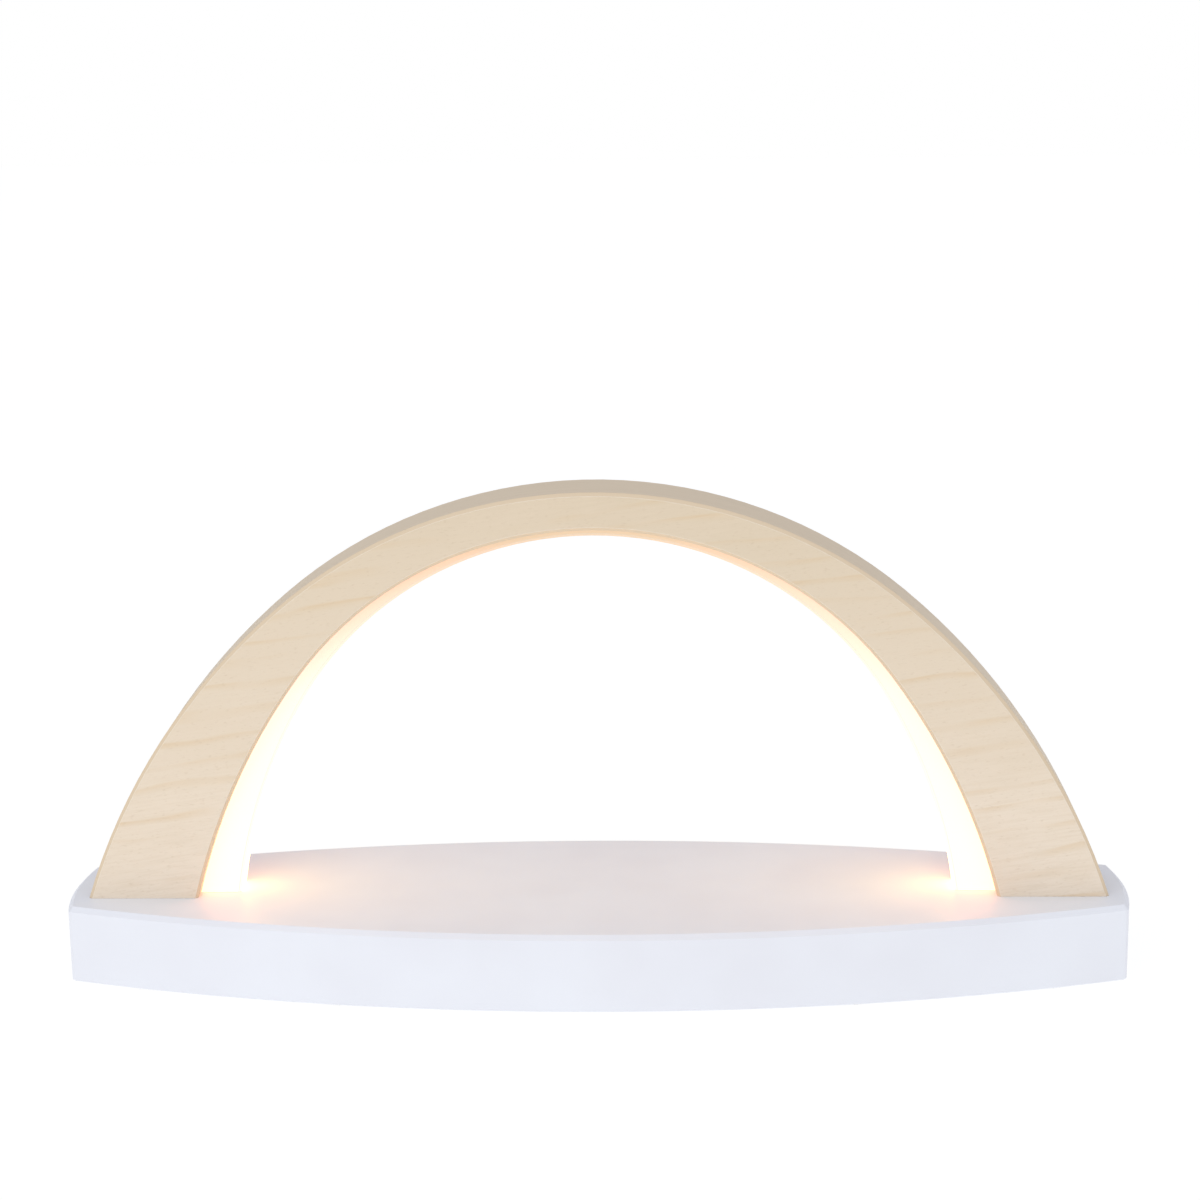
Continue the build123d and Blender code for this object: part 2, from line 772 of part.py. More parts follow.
def switch_body():
    """The switch's case, open at the back for the stem."""
    half = switch_length / 2
    case = block(-half, half, board_back - switch_depth, board_back, board_top, board_top + switch_height)
    return case - switch_opening(board_back - switch_slot_depth, board_back)


def switch_slider():
    """The stem and the ribbed cap that a finger pushes."""
    cap_y0 = bezel_front + slide_gap
    cap_y1 = cap_y0 + cap_thickness
    z0, z1 = switch_level - cap_height / 2, switch_level + cap_height / 2
    cap = block(-cap_width / 2, cap_width / 2, cap_y0, cap_y1, z0, z1)
    cap = fillet(cap.edges().filter_by(Axis.Y), cap_edge)
    for i in range(cap_groove_count):
        x = (i - (cap_groove_count - 1) / 2) * cap_groove_pitch
        ends = (x - cap_groove_width / 2, x + cap_groove_width / 2)
        cap -= block(*ends, cap_y1 - cap_groove_depth, cap_y1, z0, z1)
    stem_y0 = board_back - switch_slot_depth + slide_gap
    half_width, half_height = stem_width / 2, stem_height / 2
    return cap + block(
        -half_width, half_width, stem_y0, cap_y0, switch_level - half_height, switch_level + half_height
    )


def switch_bezel():
    """The plate round the switch, set into the back of the base."""
    outline = RectangleRounded(bezel_width, bezel_height, bezel_corner_radius)
    sheet = extrude(back_plane(bezel_back) * outline, bezel_thickness)
    sheet -= switch_opening(bezel_back, bezel_front)
    return sheet - [spot * screw_seat(*tiny_screw) for spot in bezel_screw_spots]


def felt_pads():
    """Eight round pads that the base stands on."""
    spots = [(base_width / 2 - pad_end_inset, pad_end_offset), (pad_middle_spread, pad_middle_offset)]
    pads = [rod(x, side * y, 0, pad_thickness, pad_radius) for x, y in spots for side in (-1, 1)]
    return [piece for pad in pads for piece in both_sides(pad)]


def left_of(piece):
    """The left leg's copy of a piece of the right leg."""
    return mirror(piece, about=Plane.YZ)


nodes = {
    "base_board": base_board(),
    "front_arch_board": front_arch_board(),
    "core_arch_board": core_arch_board(),
    "back_arch_board": back_arch_board(),
    "light_guide": light_guide(),
    "arch_dowels": foot_dowels(foot_dowel_radius, 0),
    "layer_dowels": layer_dowels(layer_dowel_radius, 0),
    "arch_screws": screws(arch_screw_spots, arch_screw),
    "led_tape_left": left_of(lamp_tape()),
    "led_tape_right": lamp_tape(),
    "led_chips_left": [left_of(lamp) for lamp in lamps()],
    "led_chips_right": lamps(),
    "led_lead_left": left_of(lamp_lead()),
    "led_lead_right": lamp_lead(),
    "channel_cover_left": left_of(channel_strip(0)),
    "channel_cover_right": channel_strip(0),
    "battery_box": battery_box(),
    "battery_lid": battery_lid(),
    "contact_plates": contact_plates(),
    "contact_leaves": contact_leaves(),
    "box_screws": screws(box_screw_spots, small_screw),
    "driver_cover": driver_cover(),
    "cover_screws": screws(cover_screw_spots, small_screw),
    "timer_board": timer_board(),
    "board_screws": screws(board_screw_spots, tiny_screw),
    "timer_chip": timer_chip(),
    "smoothing_capacitor": smoothing_capacitor(),
    "lead_headers": lead_headers(),
    "battery_leads": battery_leads(),
    "switch_body": switch_body(),
    "switch_slider": switch_slider(),
    "switch_bezel": switch_bezel(),
    "bezel_screws": screws(bezel_screw_spots, tiny_screw),
    "felt_pads": felt_pads(),
}
for number in range(cell_count):
    nodes[f"battery_cell_{number + 1}"] = battery_cell(number)

os.makedirs("parts", exist_ok=True)
for name, shape in nodes.items():
    whole = Compound(children=shape) if isinstance(shape, list) else shape
    export_step(whole, f"parts/{name}.step")
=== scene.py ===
import math

import bmesh
import bpy
from bpy.props import FloatProperty, FloatVectorProperty, IntProperty, PointerProperty
from bpy.types import Operator, Panel, PropertyGroup
from mathutils import Matrix, Vector


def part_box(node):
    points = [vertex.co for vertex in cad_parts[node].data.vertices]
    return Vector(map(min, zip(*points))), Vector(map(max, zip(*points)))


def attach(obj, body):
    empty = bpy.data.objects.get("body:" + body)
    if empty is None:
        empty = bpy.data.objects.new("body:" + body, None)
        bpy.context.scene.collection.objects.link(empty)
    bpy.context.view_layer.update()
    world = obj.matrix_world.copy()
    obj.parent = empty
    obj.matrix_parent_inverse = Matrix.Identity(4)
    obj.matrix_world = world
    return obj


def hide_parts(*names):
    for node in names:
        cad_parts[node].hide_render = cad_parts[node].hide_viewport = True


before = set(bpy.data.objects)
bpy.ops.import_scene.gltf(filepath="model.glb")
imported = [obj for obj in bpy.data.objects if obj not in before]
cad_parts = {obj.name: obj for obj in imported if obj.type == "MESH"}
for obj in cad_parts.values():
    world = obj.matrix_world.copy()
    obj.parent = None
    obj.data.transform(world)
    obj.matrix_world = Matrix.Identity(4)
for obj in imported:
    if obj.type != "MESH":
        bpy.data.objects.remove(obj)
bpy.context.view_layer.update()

bl_info = {
    "name": "Lamp-lit Wooden Arch",
    "version": (1, 0, 0),
    "blender": (4, 5, 0),
    "location": "View3D > Sidebar > Wooden Arch",
    "description": "Dresses a wooden arch on a white base in its finishes, lights its rim and sets the stage",
    "category": "Object",
}

# The frame is in metres. Small sizes are written in millimetres.
MM = 0.001
# Corners nearer than this are one
MERGE = 0.01 * MM
# Length of one wave of a wave texture at scale 1
WAVE_PERIOD = math.tau / 20
# Places of the colour sockets on a mix node
MIX_A, MIX_B, MIX_OUT = 6, 7, 2
# Width of the camera's sensor in millimetres
SENSOR_WIDTH = 36

base_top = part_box("base_board")[1].z
arch_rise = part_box("front_arch_board")[1].z - base_top


def linear(code):
    """The linear colour of an sRGB hex code."""
    parts = [int(code[i:i + 2], 16) / 255 for i in (1, 3, 5)]
    return [part / 12.92 if part <= 0.04045 else ((part + 0.055) / 1.055) ** 2.4 for part in parts]


def opaque(code):
    """An sRGB hex code as a shader socket takes it."""
    return (*linear(code), 1)


class WoodSettings(PropertyGroup):
    # Foot and crown tones are painted light and shade: the face is painted paler at the feet and darker up to
    # the crown
    lit_foot: FloatVectorProperty(
        name="Foot", description="Pale wood of the feet", subtype="COLOR", min=0, max=1,
        default=linear("#F4E6D4"))
    crown: FloatVectorProperty(
        name="Crown", description="Deeper wood at the top", subtype="COLOR", min=0, max=1,
        default=linear("#DCCBB0"))
    shade: FloatVectorProperty(
        name="Shade", description="Duller patches", subtype="COLOR", min=0, max=1,
        default=linear("#E4D3BB"))
    line: FloatVectorProperty(
        name="Year line", description="Tan late wood", subtype="COLOR", min=0, max=1,
        default=linear("#DBBC8C"))
    pore: FloatVectorProperty(
        name="Pore", description="Cut pores and flecks", subtype="COLOR", min=0, max=1,
        default=linear("#BFA684"))
    edge: FloatVectorProperty(
        name="Edge", description="Bands along the arch", subtype="COLOR", min=0, max=1,
        default=linear("#DCCDB5"))
    chamfer: FloatVectorProperty(
        name="Chamfer", description="Cut plies", subtype="COLOR", min=0, max=1, default=linear("#E2CEB1"))
    # The rim tone and its width are a painted highlight along the edges of the face, where a rounded edge
    # would catch the light
    rim: FloatVectorProperty(
        name="Rim", description="Sanded rims", subtype="COLOR", min=0, max=1, default=linear("#FBF2E3"))
    painted_highlight_width: FloatProperty(
        name="Rim width", description="Width of the sanded rims", unit="LENGTH", default=0.55 * MM)
    line_spacing: FloatProperty(
        name="Line spacing", description="From one year line to the next", unit="LENGTH", default=9 * MM)
    line_tilt: FloatProperty(
        name="Line tilt", description="Rise of the year lines", unit="ROTATION", default=math.radians(8))
    fibre_length: FloatProperty(
        name="Fibre length", description="Length of a fibre streak", unit="LENGTH", default=11 * MM)
    fibre_width: FloatProperty(
        name="Fibre width", description="Width of a fibre streak", unit="LENGTH", default=0.8 * MM)
    pore_length: FloatProperty(
        name="Pore length", description="Length of a fleck", unit="LENGTH", default=2.6 * MM)


class LacquerSettings(PropertyGroup):
    colour: FloatVectorProperty(
        name="Colour", description="Cool white", subtype="COLOR", min=0, max=1, default=linear("#ECEFF6"))
    cloud: FloatVectorProperty(
        name="Cloud", description="Where the coat is thin", subtype="COLOR", min=0, max=1,
        default=linear("#E8EAF1"))
    peel: FloatProperty(
        name="Peel", description="Size of the orange peel left by spraying", unit="LENGTH",
        default=1.6 * MM)
    roughness: FloatProperty(
        name="Roughness", description="Satin gloss", subtype="FACTOR", min=0, max=1, default=0.46)


class GuideSettings(PropertyGroup):
    body: FloatVectorProperty(
        name="Body", description="Unlit frosted plate", subtype="COLOR", min=0, max=1,
        default=linear("#C9BBA6"))
    near: FloatVectorProperty(
        name="Near glow", description="Glow at the feet", subtype="COLOR", min=0, max=1,
        default=linear("#FFB389"))
    middle: FloatVectorProperty(
        name="Middle glow", description="Glow half-way up", subtype="COLOR", min=0, max=1,
        default=linear("#CB887E"))
    far: FloatVectorProperty(
        name="Far glow", description="Glow at the crown", subtype="COLOR", min=0, max=1,
        default=linear("#68543F"))
    edge: FloatVectorProperty(
        name="Edge glow", description="Warm light of the inner edge", subtype="COLOR", min=0, max=1,
        default=linear("#FFCE85"))
    corner: FloatVectorProperty(
        name="Corner glow", description="Fine line along the sharp corners", subtype="COLOR", min=0, max=1,
        default=linear("#858387"))
    corner_width: FloatProperty(
        name="Corner width", description="Width of that line", unit="LENGTH", default=0.5 * MM)
    middle_height: FloatProperty(
        name="Middle height", description="Where the middle glow lies", unit="LENGTH", default=80 * MM)
    far_height: FloatProperty(
        name="Far height", description="Where the glow no longer falls off", unit="LENGTH",
        default=140 * MM)
    face_strength: FloatProperty(
        name="Face strength", description="Light of the plate's faces", min=0, default=2.6)
    edge_strength: FloatProperty(
        name="Edge strength", description="Light of its inner edge", min=0, default=5)


class LampSettings(PropertyGroup):
    glow: FloatVectorProperty(
        name="Glow", description="Warm white light", subtype="COLOR", min=0, max=1,
        default=linear("#FFD3A0"))
    strength: FloatProperty(name="Strength", description="Light of each lens", min=0, default=6)
    lens_radius: FloatProperty(
        name="Lens radius", description="Radius of the lens", unit="LENGTH", default=1.1 * MM)
    lens_height: FloatProperty(
        name="Lens height", description="Height of the lens", unit="LENGTH", default=0.3 * MM)
    cup_depth: FloatProperty(
        name="Cup depth", description="Depth of the cup round the lens", unit="LENGTH", default=0.25 * MM)
    terminal: FloatProperty(
        name="Terminal", description="Length of a soldered end", unit="LENGTH", default=0.7 * MM)


class FeltSettings(PropertyGroup):
    colour: FloatVectorProperty(
        name="Colour", description="Grey wool", subtype="COLOR", min=0, max=1, default=linear("#C9C6C1"))
    fleck: FloatVectorProperty(
        name="Fleck", description="Darker fibres", subtype="COLOR", min=0, max=1, default=linear("#9E9A94"))
    fibre_length: FloatProperty(
        name="Fibre length", description="Length of a loose fibre", unit="LENGTH", default=1.1 * MM)
    fibre_radius: FloatProperty(
        name="Fibre radius", description="Drawn coarse enough to show", unit="LENGTH", default=0.04 * MM)
    spacing: FloatProperty(
        name="Fibre spacing", description="Least room between fibres", unit="LENGTH", default=0.8 * MM)
    unevenness: FloatProperty(
        name="Unevenness", description="How far the felt's skin wanders", unit="LENGTH", default=0.14 * MM)
    seed: IntProperty(name="Seed", description="Which fibres are drawn", default=4)


class StageSettings(PropertyGroup):
    floor_size: FloatProperty(
        name="Floor size", description="Side of the floor", unit="LENGTH", default=9)
    floor: FloatVectorProperty(
        name="Floor", description="Pale floor", subtype="COLOR", min=0, max=1, default=linear("#7C7D7E"))
    floor_glow: FloatProperty(
        name="Floor glow", description="Light of the lit floor", min=0, default=0.85)
    bright_side: FloatVectorProperty(
        name="Bright side", description="Light of the big screen", subtype="COLOR", min=0, max=1,
        default=linear("#EFF0F4"))
    dim_side: FloatVectorProperty(
        name="Dim side", description="Light of the bare walls", subtype="COLOR", min=0, max=1,
        default=linear("#B6B3B7"))
    screen_way: FloatVectorProperty(
        name="Screen way", description="Where the big screen hangs", subtype="DIRECTION",
        default=(0, -0.5, 0.87))
    key_size: FloatProperty(
        name="Key size", description="Side of the soft light", unit="LENGTH", default=0.8)
    key_power: FloatProperty(
        name="Key power", description="Power of the soft light", unit="POWER", min=0, default=2)
    key_place: FloatVectorProperty(
        name="Key place", description="Where the soft light hangs", subtype="TRANSLATION",
        default=(-0.6, -1.0, 0.6))
    lens: FloatProperty(
        name="Lens", description="Focal length in millimetres", unit="CAMERA", min=1, default=78.79)
    camera_place: FloatVectorProperty(
        name="Camera place", description="Where the camera stands", subtype="TRANSLATION",
        default=(33.55 * MM, -970.04 * MM, 377.18 * MM))
    pan: FloatProperty(
        name="Pan", description="Turn to the left", unit="ROTATION", default=math.radians(1.83))
    dip: FloatProperty(
        name="Dip", description="Tilt downwards", unit="ROTATION", default=math.radians(13.43))
    roll: FloatProperty(
        name="Roll", description="Turn of the picture", unit="ROTATION", default=math.radians(-0.74))


def add(tree, kind, links=None, out=0, **settings):
    """Adds a node with its settings, links or sets its inputs and returns one of its outputs."""
    node = tree.nodes.new(kind)
    for name, value in settings.items():
        setattr(node, name, value)
    for name, given in (links or {}).items():
        for source in given if isinstance(given, list) else [given]:
            if isinstance(source, bpy.types.NodeSocket):
                tree.links.new(source, node.inputs[name])
            else:
                node.inputs[name].default_value = source
    return node.outputs[out] if node.outputs else None


def start_material(name):
    """A new material and its empty tree."""
    material = bpy.data.materials.new(name)
    material.use_nodes = True
    material.node_tree.nodes.clear()
    return material, material.node_tree


def coated(material, surface):
    """Ends a material with a surface of these inputs."""
    shader = add(material.node_tree, "ShaderNodeBsdfPrincipled", surface)
    add(material.node_tree, "ShaderNodeOutputMaterial", {"Surface": shader})
    return material


def turned_to(tree, place, axis):
    """How far a face is turned to an axis, either way."""
    facing = add(tree, "ShaderNodeSeparateXYZ", {0: place["Normal"]}, axis)
    return add(tree, "ShaderNodeMath", {0: facing}, operation="ABSOLUTE")


def near_corner(tree, width, full_match):
    """How near a sharp corner is, and the normal that is rounded over it."""
    # Nothing where that normal is the face's own, and all where the two match no better than full_match
    flat_match = 0.99
    eased = add(tree, "ShaderNodeBevel", {"Radius": width}, samples=6)
    true = add(tree, "ShaderNodeNewGeometry", out="True Normal")
    match = add(tree, "ShaderNodeVectorMath", {0: eased, 1: true}, "Value", operation="DOT_PRODUCT")
    share = add(tree, "ShaderNodeMapRange", {"Value": match, "From Min": flat_match, "From Max": full_match})
    return share, eased


def dress(material, *names):
    """Gives CAD nodes a material."""
    for name in names:
        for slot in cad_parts[name].material_slots:
            slot.material = material


def birch_veneer(wood):
    """Peeled birch veneer, sanded and matte oiled."""
    # Cream, with tan year lines that rise to the right and fade in and out,
    # fine streaks along the fibres, short flecks of cut pores and almost no gloss.
    material, tree = start_material("birch veneer, matte oiled")
    place = add(tree, "ShaderNodeTexCoord").node.outputs
    tilt = {"Vector": place["Object"], "Rotation": (0, wood.line_tilt, 0)}
    level = add(tree, "ShaderNodeMapping", tilt)
    across = 1 / wood.fibre_width
    fade_scale = (1 / (55 * MM), 1 / (30 * MM), 1 / (14 * MM))
    patch_scale = (1 / (90 * MM), 1 / (40 * MM), 1 / (35 * MM))
    fibre_scale = (1 / wood.fibre_length, across, across)
    pore_scale = (1 / wood.pore_length, across, across)
    line_stretch = (0.16, 0.4, 1)
    streak_length = 38 * MM

    # Fading of the year lines, patches, fibres and flecks, all drawn out along the grain. For each of them
    # its scale, fineness and detail, the levels between which it rises, and its greatest amount.
    mottles = []
    for scale, fineness, detail, low, high, most in (
            (fade_scale, 1.0, 2.0, 0.42, 0.72, 0.7),
            (patch_scale, 1.0, 2.0, 0.35, 0.7, 0.5),
            (fibre_scale, 1.0, 3.0, 0.4, 0.75, 0.5),
            (pore_scale, 1.3, 1.0, 0.6, 0.8, 0.2)):
        lumps = add(tree, "ShaderNodeMapping", {"Vector": level, "Scale": scale})
        noise = add(tree, "ShaderNodeTexNoise", {"Vector": lumps, "Scale": fineness, "Detail": detail})
        span = {"Value": noise, "From Min": low, "From Max": high, "To Max": most}
        mottles.append(add(tree, "ShaderNodeMapRange", span))
    fade, patch, fibre, pore = mottles

    # Year lines: soft on one side, sharp on the other, warped far along the grain
    drawn = add(tree, "ShaderNodeMapping", {"Vector": level, "Scale": line_stretch})
    band_links = {"Vector": drawn, "Scale": WAVE_PERIOD / wood.line_spacing, "Distortion": 7.5, "Detail": 3.0,
                  "Detail Scale": 1.1, "Detail Roughness": 0.55}
    bands = add(tree, "ShaderNodeTexWave", band_links, 1, bands_direction="Z", wave_profile="SAW")
    profile = add(tree, "ShaderNodeValToRGB", {"Fac": bands})
    ramp = profile.node.color_ramp.elements
    ramp[0].position, ramp[1].position = 0.6, 1
    ramp[1].color = (0, 0, 0, 1)
    ramp.new(0.9).color = (1, 1, 1, 1)
    line = add(tree, "ShaderNodeMath", {0: profile, 1: fade}, operation="MULTIPLY")

    # The face: painted paler at the feet and darker up to the crown, a painted light and shade with height,
    # with all of these on it
    parts = add(tree, "ShaderNodeSeparateXYZ", {0: place["Object"]}).node.outputs
    over_base = add(tree, "ShaderNodeMath", {0: parts["Z"], 1: base_top}, operation="SUBTRACT")
    height = add(tree, "ShaderNodeMath", {0: over_base, 1: arch_rise}, operation="DIVIDE")
    tones = {0: height, MIX_A: (*wood.lit_foot, 1), MIX_B: (*wood.crown, 1)}
    face = add(tree, "ShaderNodeMix", tones, MIX_OUT, data_type="RGBA")
    for amount, tone in ((patch, wood.shade), (line, wood.line), (fibre, wood.shade), (pore, wood.pore)):
        tones = {0: amount, MIX_A: face, MIX_B: (*tone, 1)}
        face = add(tree, "ShaderNodeMix", tones, MIX_OUT, data_type="RGBA")

    # The bands along the arch, whose streaks follow it: x becomes the way round the arch
    turn = add(tree, "ShaderNodeMath", {0: parts["X"], 1: over_base}, operation="ARCTAN2")
    along = add(tree, "ShaderNodeMath", {0: turn, 1: arch_rise / streak_length}, operation="MULTIPLY")
    layer = add(tree, "ShaderNodeMath", {0: parts["Y"], 1: across}, operation="MULTIPLY")
    band = add(tree, "ShaderNodeCombineXYZ", {"X": along, "Y": layer})
    streak = add(tree, "ShaderNodeTexNoise", {"Vector": band, "Scale": 1.0, "Detail": 3.0})
    span = {"Value": streak, "From Min": 0.35, "From Max": 0.75, "To Max": 0.8}
    streak = add(tree, "ShaderNodeMapRange", span)
    tones = {0: streak, MIX_A: (*wood.edge, 1), MIX_B: (*wood.shade, 1)}
    edge = add(tree, "ShaderNodeMix", tones, MIX_OUT, data_type="RGBA")

    # The slanted edges show the cut plies, and a paler line along the rims of the face is a painted highlight
    # where the edge would catch the light
    turned = turned_to(tree, place, "Y")
    on_slant = add(tree, "ShaderNodeMapRange", {"Value": turned, "From Min": 0.35, "From Max": 0.55})
    on_face = add(tree, "ShaderNodeMapRange", {"Value": turned, "From Min": 0.8, "From Max": 0.95})
    at_edge, eased = near_corner(tree, wood.painted_highlight_width, full_match=0.95)
    on_painted_highlight = add(tree, "ShaderNodeMath", {0: at_edge, 1: on_face}, operation="MULTIPLY")
    colour = edge
    for amount, tone in ((on_slant, (*wood.chamfer, 1)), (on_face, face), (on_painted_highlight, (*wood.rim, 1))):
        tones = {0: amount, MIX_A: colour, MIX_B: tone}
        colour = add(tree, "ShaderNodeMix", tones, MIX_OUT, data_type="RGBA")
    grain = add(tree, "ShaderNodeMath", {0: fibre, 1: pore}, operation="ADD")
    dull = add(tree, "ShaderNodeMapRange", {"Value": grain, "To Min": 0.5, "To Max": 0.68})
    bumps = {"Height": grain, "Distance": 0.05 * MM, "Strength": 0.5, "Normal": eased}
    skin = add(tree, "ShaderNodeBump", bumps, invert=True)
    return coated(material, {
        "Base Color": colour, "Roughness": dull, "Normal": skin, "IOR": 1.5, "Specular IOR Level": 0.35})


def satin_lacquer(lacquer):
    """Sprayed satin lacquer on fibreboard."""
    # Cool white with a broad soft sheen, very faint clouds and the shallow orange peel of a sprayed coat.
    material, tree = start_material("satin lacquer on fibreboard")
    cloud_size = 45 * MM
    place = add(tree, "ShaderNodeTexCoord", out="Object")
    cloud = add(tree, "ShaderNodeTexNoise", {"Vector": place, "Scale": 1 / cloud_size})
    thin = add(tree, "ShaderNodeMapRange", {"Value": cloud, "From Min": 0.35, "From Max": 0.7})
    tones = {0: thin, MIX_A: (*lacquer.colour, 1), MIX_B: (*lacquer.cloud, 1)}
    colour = add(tree, "ShaderNodeMix", tones, MIX_OUT, data_type="RGBA")
    span = {"Value": cloud, "To Min": lacquer.roughness - 0.06, "To Max": lacquer.roughness + 0.06}
    gloss = add(tree, "ShaderNodeMapRange", span)
    peel = add(tree, "ShaderNodeTexNoise", {"Vector": place, "Scale": 1 / lacquer.peel, "Detail": 1.0})
    skin = add(tree, "ShaderNodeBump", {"Height": peel, "Distance": 0.03 * MM, "Strength": 0.5})
    return coated(material, {"Base Color": colour, "Roughness": gloss, "Normal": skin, "IOR": 1.48})


def frosted_acrylic(guide):
    """Frosted acrylic plate, lit from its outer edge."""
    # Its faces glow evenly, nearly white at the feet, then dimmer and redder up to the crown. Most of the
    # light leaves at its inner edge, its sharp corners show as a fine grey line, and a fine sandblasted
    # grain dulls it.
    material, tree = start_material("frosted acrylic, edge-lit")
    blast_size = 0.4 * MM
    place = add(tree, "ShaderNodeTexCoord").node.outputs
    height = add(tree, "ShaderNodeSeparateXYZ", {0: place["Object"]}, "Z")
    span = {"Value": height, "From Min": base_top, "From Max": base_top + guide.far_height}
    way = add(tree, "ShaderNodeMapRange", span)
    glow = add(tree, "ShaderNodeValToRGB", {"Fac": way})
    ramp = glow.node.color_ramp.elements
    ramp[0].color, ramp[1].color = (*guide.near, 1), (*guide.far, 1)
    ramp.new(guide.middle_height / guide.far_height).color = (*guide.middle, 1)
    turned = turned_to(tree, place, "Y")
    on_face = add(tree, "ShaderNodeMapRange", {"Value": turned, "From Min": 0.3, "From Max": 0.65})
    tones = {0: on_face, MIX_A: (*guide.edge, 1), MIX_B: glow}
    colour = add(tree, "ShaderNodeMix", tones, MIX_OUT, data_type="RGBA")
    span = {"Value": way, "To Min": guide.edge_strength, "To Max": guide.face_strength}
    weaker = add(tree, "ShaderNodeMapRange", span)
    strength = add(tree, "ShaderNodeMix", {0: on_face, 2: weaker, 3: guide.face_strength})
    at_corner = near_corner(tree, guide.corner_width, full_match=0.92)[0]
    tones = {0: at_corner, MIX_A: colour, MIX_B: (*guide.corner, 1)}
    colour = add(tree, "ShaderNodeMix", tones, MIX_OUT, data_type="RGBA")
    strength = add(tree, "ShaderNodeMix", {0: at_corner, 2: strength, 3: 1.0})
    blast = add(tree, "ShaderNodeTexNoise", {"Vector": place["Object"], "Scale": 1 / blast_size})
    gloss = add(tree, "ShaderNodeMapRange", {"Value": blast, "To Min": 0.45, "To Max": 0.65})
    skin = add(tree, "ShaderNodeBump", {"Height": blast, "Distance": 0.02 * MM, "Strength": 0.5})
    return coated(material, {
        "Base Color": (*guide.body, 1), "Roughness": gloss, "Normal": skin, "IOR": 1.49,
        "Emission Color": colour, "Emission Strength": strength})


def moulded_plastic(name, code, worn_code, roughness):
    """Injection-moulded plastic from a spark-eroded tool."""
    # One even colour with a fine matte grain, a little paler where the tool is worn smooth.
    material, tree = start_material(name)
    worn_size = 9 * MM
    spark_size = 0.35 * MM
    place = add(tree, "ShaderNodeTexCoord", out="Object")
    worn = add(tree, "ShaderNodeTexNoise", {"Vector": place, "Scale": 1 / worn_size})
    worn = add(tree, "ShaderNodeMapRange", {"Value": worn, "From Min": 0.4, "From Max": 0.75})
    tones = {0: worn, MIX_A: opaque(code), MIX_B: opaque(worn_code)}
    colour = add(tree, "ShaderNodeMix", tones, MIX_OUT, data_type="RGBA")
    span = {"Value": worn, "To Min": roughness, "To Max": roughness - 0.1}
    gloss = add(tree, "ShaderNodeMapRange", span)
    spark = add(tree, "ShaderNodeTexNoise", {"Vector": place, "Scale": 1 / spark_size, "Detail": 1.0})
    skin = add(tree, "ShaderNodeBump", {"Height": spark, "Distance": 0.02 * MM, "Strength": 0.5})
    return coated(material, {"Base Color": colour, "Roughness": gloss, "Normal": skin, "IOR": 1.53})


def plated_metal(name, code, dull_code, roughness):
    """A plated metal with a thin, slightly cloudy coat."""
    # Bright and neutral, with clouded patches and fine drawing marks.
    material, tree = start_material(name)
    cloud_size = 1.8 * MM
    mark_size = 0.15 * MM
    place = add(tree, "ShaderNodeTexCoord", out="Object")
    cloud = add(tree, "ShaderNodeTexNoise", {"Vector": place, "Scale": 1 / cloud_size})
    cloud = add(tree, "ShaderNodeMapRange", {"Value": cloud, "From Min": 0.4, "From Max": 0.7})
    tones = {0: cloud, MIX_A: opaque(code), MIX_B: opaque(dull_code)}
    colour = add(tree, "ShaderNodeMix", tones, MIX_OUT, data_type="RGBA")
    span = {"Value": cloud, "To Min": roughness, "To Max": roughness + 0.15}
    gloss = add(tree, "ShaderNodeMapRange", span)
    drawn = add(tree, "ShaderNodeMapping", {"Vector": place, "Scale": (1, 1, 0.1)})
    marks = add(tree, "ShaderNodeTexNoise", {"Vector": drawn, "Scale": 1 / mark_size, "Detail": 1.0})
    skin = add(tree, "ShaderNodeBump", {"Height": marks, "Distance": 0.01 * MM, "Strength": 0.4})
    return coated(material, {"Base Color": colour, "Roughness": gloss, "Normal": skin, "Metallic": 1.0})


def turned_beech():
    """Beech dowel, turned and left bare."""
    # Pinkish tan with dark flecks along the dowel and no gloss.
    material, tree = start_material("beech dowel, bare")
    fleck_size = 0.6 * MM
    place = add(tree, "ShaderNodeTexCoord", out="Object")
    drawn = add(tree, "ShaderNodeMapping", {"Vector": place, "Scale": (1, 1, 0.15)})
    fleck = add(tree, "ShaderNodeTexNoise", {"Vector": drawn, "Scale": 1 / fleck_size})
    span = {"Value": fleck, "From Min": 0.5, "From Max": 0.72, "To Max": 0.8}
    fleck = add(tree, "ShaderNodeMapRange", span)
    tones = {0: fleck, MIX_A: opaque("#D8B48C"), MIX_B: opaque("#A97C50")}
    colour = add(tree, "ShaderNodeMix", tones, MIX_OUT, data_type="RGBA")
    skin = add(tree, "ShaderNodeBump", {"Height": fleck, "Distance": 0.05 * MM, "Strength": 0.5})
    return coated(material, {"Base Color": colour, "Roughness": 0.7, "Normal": skin})


def flexible_tape():
    """White solder resist on a flexible circuit."""
    # White and slightly glossy, with the copper traces showing through as faint raised lines.
    material, tree = start_material("flexible circuit, white resist")
    place = add(tree, "ShaderNodeTexCoord", out="Object")
    trace_spacing = 1.1 * MM
    waves = {"Vector": place, "Scale": WAVE_PERIOD / trace_spacing}
    trace = add(tree, "ShaderNodeTexWave", waves, 1, bands_direction="Y")
    tones = {0: trace, MIX_A: opaque("#F4F1EA"), MIX_B: opaque("#E6DFD0")}
    colour = add(tree, "ShaderNodeMix", tones, MIX_OUT, data_type="RGBA")
    skin = add(tree, "ShaderNodeBump", {"Height": trace, "Distance": 0.03 * MM, "Strength": 0.6})
    return coated(material, {"Base Color": colour, "Roughness": 0.4, "Normal": skin})


